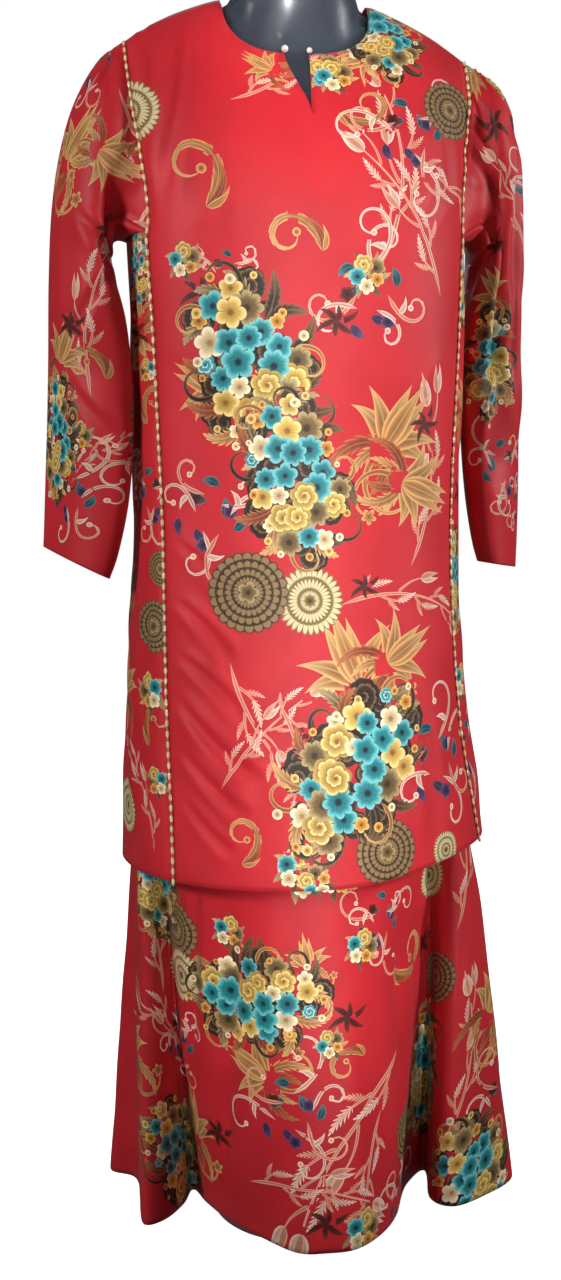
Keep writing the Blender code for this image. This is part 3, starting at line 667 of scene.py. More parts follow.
class Print:
    """Motifs laid on a piece's faces. Each face corner keeps its place within the motif."""

    def __init__(self, cuts):
        self.cuts = cuts
        self.middle = cuts.mean(axis=1)
        self.layers = np.zeros((LAYERS, len(cuts), 4, 4), dtype=np.float32)

    def lay(self, faces, local, tint, shape, colour, solid):
        """Puts a motif over what lies on these faces."""
        code = (SHAPE[shape] * 16 + COLOUR[colour] + 0.5) / 256
        new = np.empty((len(faces), 4, 4), dtype=np.float32)
        new[:, :, :2] = local
        new[:, :, 2] = tint
        new[:, :, 3] = code
        self.layers[1:, faces] = self.layers[:-1, faces]
        self.layers[0, faces] = new
        self.layers[1:, faces[solid]] = 0

    def spot(self, centre, radius, turn, shape, colour, tint=0.5):
        """A round motif: a flower, a bud, a medallion."""
        reach = radius + 0.009
        near = np.nonzero((np.abs(self.middle - centre) < reach).all(axis=1))[0]
        if not len(near):
            return
        local = (self.cuts[near] - centre) / radius
        c, s = math.cos(turn), math.sin(turn)
        local = local @ np.array(((c, -s), (s, c)))
        away = np.linalg.norm(local, axis=2)
        middle = np.linalg.norm((self.middle[near] - centre) / radius, axis=1)
        keep = (away.min(axis=1) < 1.0) | (middle < 0.004 / radius)
        solid = (away.max(axis=1) < 0.6)[keep]
        self.lay(near[keep], local[keep], tint, shape, colour, solid)

    def path(self, points, half, shape, colour, tint=0.5):
        """A leaf or stem along a path: how far along from 0 to 1, and how far across."""
        points = np.array(points)
        run = np.diff(points, axis=0)
        long_ = np.linalg.norm(run, axis=1)
        start = np.append(0, np.cumsum(long_))
        reach = half + 0.006
        low, high = points.min(axis=0) - reach, points.max(axis=0) + reach
        near = np.nonzero(((self.middle > low) & (self.middle < high)).all(axis=1))[0]
        if not len(near):
            return
        _, away, along = self.nearest(self.middle[near], points, run, long_, start, None)
        keep = np.abs(away) < reach
        near, along = near[keep], along[keep]
        if not len(near):
            return
        corners = self.cuts[near].reshape(-1, 2)
        window = np.repeat(along, 4)
        _, away, along = self.nearest(corners, points, run, long_, start, window)
        local = np.stack([along / start[-1], away / half], axis=1).reshape(-1, 4, 2)
        off = local[:, :, 1]
        crossed = (off.min(axis=1) < 0) & (off.max(axis=1) > 0)
        keep = crossed | (np.abs(off).min(axis=1) < 1.0)
        self.lay(near[keep], local[keep], tint, shape, colour, np.zeros(keep.sum(), dtype=bool))

    def nearest(self, places, points, run, long_, start, window):
        """Nearest stretch of a path, the signed distance from it and the length up to it."""
        step = places[:, None] - points[None, :-1]
        t = (step * run).sum(axis=2) / long_ ** 2
        low = np.zeros(len(run))
        high = np.ones(len(run))
        low[0], high[-1] = -9, 9
        held = np.clip(t, low, high)
        rest = step - held[:, :, None] * run
        distance = np.linalg.norm(rest, axis=2)
        along = start[:-1] + held * long_
        search = distance if window is None else distance + 9 * (np.abs(along - window[:, None]) > 0.016)
        best = search.argmin(axis=1)
        pick = (np.arange(len(places)), best)
        side = np.sign(run[best, 0] * step[pick][:, 1] - run[best, 1] * step[pick][:, 0])
        return best, distance[pick] * side, along[pick]


def tinted(rng):
    return float(rng.uniform(0.2, 0.8))


def arc(start, heading, bend, length, count=10, ease=1.0):
    """Points of a path that turns as it goes. bend is the whole turn in radians."""
    points = [np.array(start)]
    angle = heading
    for i in range(count):
        angle = heading + bend * ((i + 0.5) / count) ** ease
        points.append(points[-1] + length / count * np.array((math.cos(angle), math.sin(angle))))
    return points


def aside(u, v, reach, heading):
    """The place at a reach from another."""
    return np.array((u, v)) + reach * np.array((math.cos(heading), math.sin(heading)))


# A bouquet's flowers from its middle outwards: shape, colour, radius
INNER = [("daisy", "teal", 0.0200), ("flower", "teal", 0.0185), ("rose", "yellow", 0.0185),
         ("daisy", "teal", 0.0170), ("flower", "cream", 0.0120)]
MIDDLE = [("rose", "yellow", 0.0195), ("flower", "teal", 0.0165), ("flower", "cream", 0.0165),
          ("daisy", "teal", 0.0150), ("daisy", "khaki", 0.0210), ("flower", "yellow", 0.0170)]
OUTER = [("flower", "yellow", 0.0150), ("flower", "cream", 0.0100), ("daisy", "khaki", 0.0170),
         ("flower", "orange", 0.0095), ("rose", "pale teal", 0.0105), ("flower", "cream", 0.0130)]


def lay_bouquet(print_, rng, u, v, size, turn):
    """Teal and yellow flowers over dark volutes and leaves, with buds round the edge."""
    wide, high = 0.056 * size, 0.100 * size
    c, s = math.cos(turn), math.sin(turn)

    def spot(x, y):
        return np.array((u + c * x - s * y, v + s * x + c * y))

    for i in range(20):
        angle = 2.6 + i * 0.43
        far = (0.45, 0.85, 1.02)[i % 3]
        centre = spot(wide * far * math.cos(angle), high * far * math.sin(angle))
        radius = (0.026, 0.017, 0.021)[i % 3] * size
        print_.spot(centre, radius, rng.uniform(0, 6.28), "volute", "dark leaf", tinted(rng))
    for i in range(14):
        angle = i * 2.4 + rng.uniform(-0.3, 0.3)
        start = spot(0.75 * wide * math.cos(angle), 0.78 * high * math.sin(angle))
        reach = rng.uniform(0.042, 0.058) * size
        colour = ("dark leaf", "khaki", "gold", "dark leaf", "brown red")[i % 5]
        bend = rng.choice((-1, 1)) * rng.uniform(0.8, 1.9)
        print_.path(arc(start, angle + turn, bend, reach), 0.0105 * size, "acanthus", colour, tinted(rng))
    for i in range(6):
        angle = i * 1.05 + rng.uniform(-0.2, 0.2)
        start = spot(0.9 * wide * math.cos(angle), 0.9 * high * math.sin(angle))
        bend = rng.choice((-1, 1)) * rng.uniform(3.6, 5.0)
        print_.path(arc(start, angle + turn, bend, 0.080 * size, 16, 1.5), 0.0034 * size, "stem",
                    ("gold", "dark leaf")[i % 2], tinted(rng))
    count = 27
    for i in range(count, 0, -1):
        share = math.sqrt(i / count)
        angle = i * 2.39996 + turn
        centre = spot(wide * share * math.cos(angle), high * share * math.sin(angle))
        centre = centre + rng.uniform(-0.004, 0.004, 2) * size
        kinds = INNER if share < 0.55 else MIDDLE if share < 0.84 else OUTER
        shape, colour, radius = kinds[i % len(kinds)]
        print_.spot(centre, radius * size * rng.uniform(0.9, 1.15), rng.uniform(0, 6.28), shape, colour,
                    tinted(rng))
    for i in range(14):
        angle = i * 0.45 + rng.uniform(-0.2, 0.2)
        far = rng.uniform(1.0, 1.25)
        centre = spot(wide * far * math.cos(angle), high * far * math.sin(angle))
        print_.spot(centre, rng.uniform(0.0035, 0.0062) * size, 0, "bud",
                    ("cream", "orange", "yellow")[i % 3], tinted(rng))


def lay_spray(print_, rng, u, v, size, turn, colour="salmon"):
    """A long twig with side shoots that end in an ear of small buds or in narrow pods."""
    bend = rng.choice((-1, 1)) * rng.uniform(0.5, 1.0)
    main = arc((u, v), turn, bend, 0.185 * size, 14)
    print_.path(main, 0.0026 * size, "stem", colour, 0.6)
    for i in range(2, 14, 2):
        side = 1 if i % 4 else -1
        heading = turn + bend * i / 14 + side * rng.uniform(0.55, 0.85)
        reach = rng.uniform(0.030, 0.046) * size
        twig = arc(main[i], heading, -side * 0.7, reach, 6)
        print_.path(twig, 0.0019 * size, "stem", colour, 0.6)
        heading -= side * 0.7
        if i % 3:
            ear = arc(twig[4], heading, -side * 0.3, 0.030 * size, 4)
            print_.path(ear, 0.0052 * size, "ear", "pink", tinted(rng))
            ear = arc(twig[2], heading + side * 1.2, -side * 0.6, 0.022 * size, 4)
            print_.path(ear, 0.0040 * size, "ear", colour, tinted(rng))
        else:
            for flank in (-0.4, 0.25):
                pod = arc(twig[-1], heading + flank, -1.5 * flank, 0.034 * size, 5)
                print_.path(pod, 0.0042 * size, "flame", ("pink", "salmon")[flank > 0], tinted(rng))
    for flank in (-0.5, 0.5, 0.0):
        pod = arc(main[-1], turn + bend + flank, -1.6 * flank, (0.040 - 0.016 * abs(flank)) * size, 6)
        print_.path(pod, 0.0046 * size, "flame", ("pink", "salmon")[flank == 0], tinted(rng))


def lay_scrolls(print_, rng, u, v, size, turn):
    """Thin pink scrolls that wind about a middle, with navy leaves and purple flowers."""
    for i in range(6):
        heading = turn + i * 1.9
        start = aside(u, v, (0.012 + 0.005 * i) * size, heading)
        print_.path(arc(start, heading + 0.9, 1.2, 0.020 * size, 5), 0.0052 * size, "leaf",
                    ("navy leaf", "navy leaf", "purple")[i % 3], tinted(rng))
    for i in range(3):
        centre = aside(u, v, (0.020 + 0.006 * i) * size, turn + 0.2 + i * 2.1)
        print_.spot(centre, 0.0080 * size, i, "flower", ("purple", "maroon")[i % 2], tinted(rng))
    for i in range(6):
        heading = turn + i * 1.05 + rng.uniform(-0.25, 0.25)
        side = 1 if i % 2 else -1
        start = aside(u, v, rng.uniform(0.014, 0.024) * size, heading)
        reach = rng.uniform(0.070, 0.125) * size
        curl = arc(start, heading - side * 1.0, side * rng.uniform(4.6, 6.0), reach, 24, 2.2)
        print_.path(curl, 0.0026 * size, "stem", ("pink", "pink", "salmon")[i % 3], tinted(rng))
        print_.spot(curl[-1], 0.0032 * size, 0, "bud", "pink", 0.8)
        if i % 2:
            leaf = arc(curl[6], heading + side * 0.6, side * 1.2, 0.020 * size, 5)
            print_.path(leaf, 0.0032 * size, "flame", "pink", tinted(rng))


def lay_acanthus(print_, rng, u, v, size, turn):
    """A flame flower over two curled, toothed leaves and a winding stem with a small star."""
    root = aside(u, v, 0.010 * size, turn + math.pi)
    for side in (-1, 1):
        leaf = arc(root, turn + side * 1.7, side * 1.9, 0.066 * size, 12)
        print_.path(leaf, 0.0072 * size, "acanthus", ("gold", "brown red")[side > 0], tinted(rng))
        leaf = arc(root, turn + side * 2.3, side * 1.2, 0.046 * size, 8)
        print_.path(leaf, 0.0060 * size, "acanthus", ("brown red", "gold")[side > 0], tinted(rng))
    curl = arc(root, turn + 2.8, 3.6, 0.095 * size, 16, 1.4)
    print_.path(curl, 0.0034 * size, "stem", "gold", tinted(rng))
    print_.spot(curl[-1], 0.0080 * size, turn, "star", "gold", tinted(rng))
    for i in range(2):
        centre = aside(u, v, (0.006 + 0.013 * i) * size, turn + math.pi)
        print_.spot(centre, (0.012 - 0.002 * i) * size, turn, "daisy", "brown red", 0.6)
    print_.spot((u, v), 0.0090 * size, turn, "daisy", "gold", 0.3)
    for spread in (-1.25, 1.25, -0.85, 0.85, -0.45, 0.45, 0.0):
        reach = (0.066 - 0.014 * abs(spread)) * size * rng.uniform(0.92, 1.08)
        bend = (0.9 if abs(spread) > 0.8 else -0.5) * spread
        leaf = arc(root, turn + 0.62 * spread, bend, reach, 10)
        print_.path(leaf, 0.0080 * size, "flame", "gold", 0.25 + 0.5 * (abs(spread) < 0.5))


def lay_comma(print_, rng, u, v, size, turn):
    """A single feathered gold curl that swells and winds in to a bud."""
    side = 1 if size > 0 else -1
    size = abs(size)
    curl = arc((u, v), turn, side * 6.4, 0.135 * size, 26, 1.8)
    print_.path(curl, 0.0056 * size, "plume", "gold", 0.5)
    print_.spot(curl[-1], 0.0046 * size, 0, "bud", "gold", 0.8)
    under = arc((u, v), turn - side * 0.4, side * 1.6, 0.052 * size, 10, 1.2)
    print_.path(under, 0.0042 * size, "plume", "brown red", 0.6)
    tip = arc((u, v), turn - side * 0.9, side * 1.2, 0.030 * size, 6)
    print_.path(tip, 0.0034 * size, "flame", "gold", 0.6)


def lay_medallion(print_, rng, u, v, size, turn):
    """A dark, lace-like disc with a small flower in its middle."""
    print_.spot((u, v), 0.0375 * size, turn, "medallion", "medallion", 0.5)
    print_.spot((u, v), 0.0100 * size, turn, "flower", "khaki", 0.5)


def lay_sunburst(print_, rng, u, v, size, turn):
    """A pale disc of narrow rays with a small flower in its middle."""
    print_.spot((u, v), 0.0355 * size, turn, "sunburst", "sunburst", 0.6)
    print_.spot((u, v), 0.0075 * size, turn, "daisy", "khaki", 0.6)


def lay_sprig(print_, rng, u, v, size, turn):
    """A few small flowers and leaves."""
    for i in range(6):
        print_.path(arc((u, v), turn + i * 1.05, 0.9, 0.036 * size, 6), 0.0070 * size, "acanthus",
                    ("khaki", "dark leaf", "gold")[i % 3], tinted(rng))
    for i, (shape, colour, radius) in enumerate((("daisy", "khaki", 0.015), ("rose", "yellow", 0.0145),
                                                 ("daisy", "teal", 0.013), ("flower", "cream", 0.0115),
                                                 ("flower", "orange", 0.010))):
        heading = turn + i * 1.3
        print_.spot(aside(u, v, 0.015 * size, heading), radius * size, heading, shape, colour, tinted(rng))


def lay_dark_leaves(print_, rng, u, v, size, turn):
    """Small maroon leaves, as a shadow of the brighter motifs."""
    for i in range(6):
        heading = turn + i * 1.05
        reach = (0.028, 0.018, 0.024)[i % 3] * size
        print_.path(arc((u, v), heading, 0.9, reach, 6), 0.0046 * size, "acanthus", "maroon", tinted(rng))


MOTIFS = {
    "bouquet": lay_bouquet, "spray": lay_spray, "scrolls": lay_scrolls, "acanthus": lay_acanthus,
    "comma": lay_comma, "medallion": lay_medallion, "sunburst": lay_sunburst, "sprig": lay_sprig,
    "dark": lay_dark_leaves,
}

# Where the motifs lie on each piece's cut, as rows of u, v, size and turn: metres for the place,
# degrees for the turn. What comes later lies over what comes before, so a motif's name can recur.
LAYOUT = {
    "front_panel": [
        ("spray", (0.07, 1.13, 1.15, 62), (0.15, 1.1, 1, 105), (0.1, 1.26, 0.9, -40),
         (-0.09, 1.31, 0.85, 20), (0.11, 0.8, 1, 60), (0.02, 0.76, 0.9, 20), (-0.105, 0.7, 1, -80),
         (-0.12, 0.56, 0.8, 60), (-0.055, 0.66, 0.9, -60)),
        ("comma", (-0.12, 1.19, 1.2, 60), (0.005, 1.145, 1, 110), (0.03, 1.3, 0.9, -30),
         (-0.1, 0.48, 0.8, 40)),
        ("acanthus", (0.085, 0.945, 1.35, 55), (0.11, 0.89, 1.15, -20), (0.035, 0.685, 1.35, 110),
         (0.085, 0.7, 1.1, 30), (-0.115, 1, 1, 150), (0.07, 1.38, 0.9, 200), (-0.045, 1.362, 0.6, 150)),
        ("scrolls", (0.115, 1.28, 1.05, 20), (0.06, 1.1, 1.1, 50), (-0.12, 0.86, 1.05, 0),
         (0.145, 0.58, 1.15, 30), (-0.1, 1.12, 0.6, 0)),
        ("dark", (0.02, 1.07, 1, 0), (0.13, 0.96, 0.9, 40), (-0.13, 1.1, 1, 0), (0.05, 0.78, 0.8, 10),
         (-0.02, 0.62, 0.8, 60)),
        ("sunburst", (-0.2, 1.305, 1.05, 0), (-0.014, 0.766, 1.08, 0)),
        ("medallion", (-0.082, 0.776, 1.2, 0), (0.064, 0.488, 1, 0), (0.17, 1.315, 1, 0)),
        ("sunburst", (0.15, 0.478, 0.6, 0)),
        ("sprig", (-0.148, 1.135, 0.7, 20), (0.075, 1.4, 1.2, 0), (0.025, 1.355, 0.9, 80),
         (0.055, 1.12, 0.8, 40), (-0.04, 0.475, 0.85, 0), (-0.02, 0.46, 0.7, 90), (0.03, 1.35, 0.8, 30)),
        ("bouquet", (-0.074, 1.02, 0.95, 20), (-0.028, 0.9, 0.85, 12), (0.03, 0.582, 0.95, -38),
         (0.098, 1.415, 0.62, 0)),
    ],
    "back_panel": [
        ("spray", (-0.08, 1.08, 1.1, 110), (0.13, 1.12, 1, 70), (-0.1, 1.32, 0.9, -20),
         (0.04, 0.82, 1, 130), (-0.12, 0.72, 1, 60), (0.1, 0.56, 0.9, 80), (0.03, 1.32, 0.8, 150)),
        ("comma", (0.11, 1.24, 1.1, 100), (-0.02, 1.16, -1.1, 60), (0.1, 0.74, 1, 0),
         (-0.14, 0.52, 0.9, 90)),
        ("acanthus", (-0.09, 0.93, 1.3, 140), (0.02, 0.68, 1.25, 60), (0.12, 1, 1.1, 20),
         (-0.06, 1.37, 0.9, -20)),
        ("scrolls", (-0.11, 1.22, 1.05, 10), (0.12, 0.88, 1.05, 30), (-0.12, 0.6, 1.1, 60),
         (0, 1.04, 0.9, 0)),
        ("dark", (0.04, 1.2, 1, 0), (-0.05, 0.8, 1, 0), (0.14, 0.66, 1, 20)),
        ("medallion", (0.07, 0.775, 1.05, 0)),
        ("sunburst", (0, 0.765, 1, 0)),
        ("medallion", (-0.08, 0.5, 1, 0)),
        ("sunburst", (0.15, 1.33, 0.95, 0)),
        ("medallion", (-0.15, 1.36, 1, 0)),
        ("sprig", (0.05, 1.39, 0.9, 0), (-0.14, 1.1, 0.8, 20), (0.03, 0.475, 0.9, 30)),
        ("bouquet", (0.065, 1.075, 0.95, -18), (0.01, 0.93, 0.85, -10), (-0.055, 0.6, 0.95, 35),
         (0.15, 0.53, 0.6, 0)),
    ],
    "side_gore_right": [
        ("spray", (0.03, 0.96, 0.9, -80), (0.12, 0.9, 1, 100)),
        ("comma", (0.03, 0.6, 0.9, 70)),
        ("acanthus", (0.03, 1.06, 0.8, -60), (0.1, 0.66, 1, 90)),
        ("scrolls", (0.02, 0.88, 0.8, 0), (0.12, 1.02, 0.9, 30)),
        ("medallion", (0.018, 0.735, 0.8, 0), (0.17, 0.62, 0.9, 0)),
        ("sprig", (0.028, 0.66, 0.8, 0), (0.02, 1.14, 0.9, 30)),
        ("comma", (0.018, 0.962, 0.7, 70)),
        ("medallion", (0.006, 0.8, 0.55, 0)),
        ("sprig", (0.014, 1.02, 0.5, 0)),
        ("dark", (0.03, 1.06, 0.9, 0)),
        ("bouquet", (0.13, 0.78, 0.7, 20), (0.024, 1.13, 0.42, 0)),
        ("sunburst", (0.1, 0.52, 0.9, 0)),
        ("sprig", (0.02, 0.56, 0.6, 0)),
        ("spray", (0.03, 0.48, 0.7, 90)),
    ],
    "side_gore_left": [
        ("spray", (0.03, 1, 0.9, -80), (0.12, 0.6, 1, 100)),
        ("comma", (0.12, 0.96, 1, 70)),
        ("acanthus", (0.03, 0.98, 0.8, 60), (0.12, 0.72, 1, 90)),
        ("scrolls", (0.02, 0.58, 0.8, 0), (0.12, 1.08, 0.9, 30)),
        ("medallion", (0.1, 0.86, 0.9, 0)),
        ("sprig", (0.02, 0.66, 0.8, 0), (0.015, 1.1, 0.9, 30)),
        ("dark", (0.03, 0.88, 0.9, 0)),
        ("bouquet", (0.015, 0.78, 0.55, 10), (0.14, 0.52, 0.7, 20), (0.012, 1.13, 0.5, 0)),
    ],
    "gusset_right": [
        ("dark", (0.22, -0.02, 0.8, 0)),
        ("sprig", (0.24, -0.04, 0.7, 0)),
    ],
    "gusset_left": [
        ("dark", (0.22, -0.02, 0.8, 0)),
        ("sprig", (0.24, -0.04, 0.7, 0)),
    ],
    "sleeve_right": [
        ("spray", (0.075, -0.42, 0.9, 105), (-0.08, -0.24, 1, 95), (0.1, -0.08, 0.8, -60),
         (0.045, -0.515, 0.5, 60), (-0.14, -0.1, 0.9, -80)),
        ("comma", (0.09, -0.4, 0.8, 100), (-0.05, -0.42, 0.9, 60)),
        ("acanthus", (0.035, -0.15, 1.1, 60), (0.09, -0.16, 0.9, -30), (-0.05, -0.14, 1.1, 120),
         (0.03, -0.372, 0.9, 60)),
        ("scrolls", (0.045, -0.528, 0.85, 0), (0.13, -0.49, 0.8, 40), (0.02, -0.045, 0.8, 20),
         (-0.09, -0.34, 0.9, 0)),
        ("dark", (0.05, -0.34, 0.9, 0), (0.1, -0.24, 0.8, 30)),
        ("medallion", (0.145, -0.44, 0.95, 0), (-0.13, -0.2, 1, 0)),
        ("sunburst", (-0.05, -0.27, 0.9, 0)),
        ("sprig", (0.058, -0.462, 0.6, 0), (0.16, -0.1, 0.9, 0)),
        ("bouquet", (0.012, -0.462, 0.62, 0), (0.165, -0.14, 0.6, 15), (-0.05, -0.46, 0.6, 0)),
    ],
    "sleeve_left": [
        ("spray", (-0.07, -0.22, 1, 95), (0.005, -0.44, 0.9, 85), (0.03, -0.26, 0.7, 80)),
        ("comma", (-0.06, -0.4, 0.9, 60)),
        ("acanthus", (0.1, -0.035, 0.75, -80), (0.075, -0.03, 0.6, -100), (-0.06, -0.12, 1.1, 120),
         (0.09, -0.3, 0.8, 60)),
        ("scrolls", (0.015, -0.17, 0.75, 0), (0.06, -0.5, 0.85, 0), (0.02, -0.54, 0.6, 40),
         (-0.1, -0.32, 0.9, 0)),
        ("dark", (0.085, -0.105, 1.25, 0), (0.1, -0.24, 0.8, 30), (0.02, -0.1, 0.9, 20)),
        ("medallion", (-0.12, -0.22, 1, 0)),
        ("sunburst", (0.115, -0.01, 0.75, 0), (-0.08, -0.5, 0.9, 0)),
        ("sprig", (0.03, -0.06, 0.6, 0)),
        ("bouquet", (0.085, -0.37, 0.6, 0), (-0.05, -0.46, 0.6, 0), (-0.14, -0.12, 0.6, 10)),
    ],
    "skirt_front": [
        ("spray", (0.125, 0.245, 1.35, 205), (0.075, 0.185, 0.95, -115), (-0.24, 0.3, 0.9, 80),
         (-0.2, 0.18, 0.9, 100), (0.27, 0.36, 0.9, 80), (-0.1, 0.1, 0.9, 20), (0.32, 0.12, 0.9, 70)),
        ("comma", (0.105, 0.335, 1.1, -30), (0.05, 0.255, 0.7, 150), (-0.14, 0.3, 0.9, 60),
         (0.24, 0.2, 1, 60)),
        ("acanthus", (-0.075, 0.235, 1, 160), (-0.015, 0.365, 0.6, 100), (-0.2, 0.13, 1, 90),
         (0.36, 0.26, 1.1, 60), (-0.32, 0.24, 1, 100)),
        ("scrolls", (-0.035, 0.195, 1, 20), (0.14, 0.06, 0.9, 0), (-0.21, 0.24, 0.8, 0),
         (0.4, 0.14, 1, 0), (0.08, 0.4, 0.8, 0)),
        ("dark", (0.03, 0.3, 1, 0), (-0.15, 0.14, 1, 0), (0.2, 0.34, 1, 0), (0, 0.07, 1, 0)),
        ("medallion", (-0.19, 0.38, 0.95, 0)),
        ("sunburst", (-0.185, 0.325, 0.9, 0)),
        ("medallion", (0.25, 0.3, 0.9, 0), (0.17, 0.12, 0.9, 0)),
        ("sunburst", (0.21, 0.42, 0.8, 0)),
        ("medallion", (0.42, 0.38, 1, 0), (-0.36, 0.12, 1, 0)),
        ("sprig", (0.045, 0.055, 0.9, 0), (0.05, 0.375, 0.75, 0), (0.008, 0.272, 0.6, 40),
         (-0.11, 0.39, 0.7, 0), (-0.24, 0.13, 1, 30), (0.02, 0.46, 0.9, 0), (-0.02, 0.46, 0.9, 50)),
        ("bouquet", (-0.082, 0.318, 0.8, 98), (0.235, 0.175, 0.72, 0), (-0.225, 0.44, 0.62, 0),
         (-0.26, 0.1, 0.7, 20), (0.38, 0.06, 0.8, 40), (0.1, 0.56, 0.8, 0), (-0.12, 0.6, 0.8, 0)),
    ],
    "skirt_back": [
        ("spray", (-0.36, 0.22, 1, 80), (-0.2, 0.3, 1.1, -60), (-0.05, 0.16, 1, 100),
         (0.1, 0.34, 1, -100), (0.26, 0.14, 1, 120), (0.4, 0.3, 1, 70)),
        ("comma", (-0.28, 0.12, 1, 40), (-0.02, 0.38, 1, 100), (0.2, 0.28, -1, 60), (0.44, 0.12, 1, 60)),
        ("acanthus", (-0.42, 0.34, 1.1, 60), (-0.12, 0.12, 1.1, 110), (0.06, 0.24, 1.1, 60),
         (0.33, 0.36, 1.1, 120)),
        ("scrolls", (-0.3, 0.36, 1, 0), (-0.06, 0.28, 1.1, 30), (0.18, 0.1, 1, 60), (0.46, 0.26, 1, 0)),
        ("dark", (-0.16, 0.4, 1, 0), (0.02, 0.1, 1, 0), (0.28, 0.24, 1, 0)),
        ("medallion", (-0.22, 0.16, 1, 0)),
        ("sunburst", (-0.28, 0.22, 0.9, 0)),
        ("medallion", (0.14, 0.38, 1, 0)),
        ("sunburst", (0.38, 0.18, 1, 0)),
        ("medallion", (0.5, 0.36, 1, 0)),
        ("sprig", (-0.1, 0.06, 1, 0), (0.32, 0.06, 1, 0), (0.04, 0.46, 1, 0)),
        ("bouquet", (-0.38, 0.1, 0.85, 20), (-0.14, 0.24, 0.9, -30), (0.1, 0.18, 0.75, 20),
         (0.3, 0.44, 0.85, 80), (-0.24, 0.5, 0.8, 60), (0.42, 0.06, 0.8, 0), (0.02, 0.58, 0.8, 0)),
    ],
}


def linear(code):
    """Linear colour of an sRGB hex code."""
    values = [int(code[i:i + 2], 16) / 255 for i in (0, 2, 4)]
    return [v / 12.92 if v <= 0.04045 else ((v + 0.055) / 1.055) ** 2.4 for v in values]


class Wiring:
    """Adds nodes to a material or group and joins them up."""

    def __init__(self, tree):
        self.tree = tree

    def node(self, kind, *inputs, **settings):
        node = self.tree.nodes.new(kind)
        for name, value in settings.items():
            setattr(node, name, value)
        for socket, value in zip(node.inputs, inputs):
            self.feed(socket, value)
        return node

    def feed(self, socket, value):
        if value is None:
            return
        if isinstance(value, bpy.types.NodeSocket):
            self.tree.links.new(value, socket)
        else:
            socket.default_value = value

    def math(self, operation, *values):
        return self.node("ShaderNodeMath", *values, operation=operation).outputs[0]

    def step(self, value, low, high, start=0.0, end=1.0):
        """Smooth step of a value from low to high."""
        node = self.node("ShaderNodeMapRange", value, low, high, start, end, interpolation_type="SMOOTHSTEP")
        return node.outputs[0]

    def mix(self, share, a, b, blend="MIX"):
        node = self.tree.nodes.new("ShaderNodeMix")
        node.data_type = "RGBA"
        node.blend_type = blend
        self.feed(node.inputs[0], share)
        self.feed(node.inputs[6], a)
        self.feed(node.inputs[7], b)
        return node.outputs[2]

    def blend(self, share, a, b):
        """Plain mix of two numbers."""
        node = self.tree.nodes.new("ShaderNodeMix")
        self.feed(node.inputs[0], share)
        self.feed(node.inputs[2], a)
        self.feed(node.inputs[3], b)
        return node.outputs[0]

    def bands(self, value, rows):
        """Reads a row of four numbers by a value: 16 even bands with hard edges."""
        ramp = self.node("ShaderNodeValToRGB", value)
        table = ramp.color_ramp
        table.interpolation = "CONSTANT"
        while len(table.elements) < len(rows):
            table.elements.new(1.0)
        for number, row in enumerate(rows):
            table.elements[number].position = number / 16
            table.elements[number].color = row
        return ramp

    def split(self, ramp):
        parts = self.node("ShaderNodeSeparateColor", ramp.outputs[0])
        return parts.outputs[0], parts.outputs[1], parts.outputs[2], ramp.outputs[1]


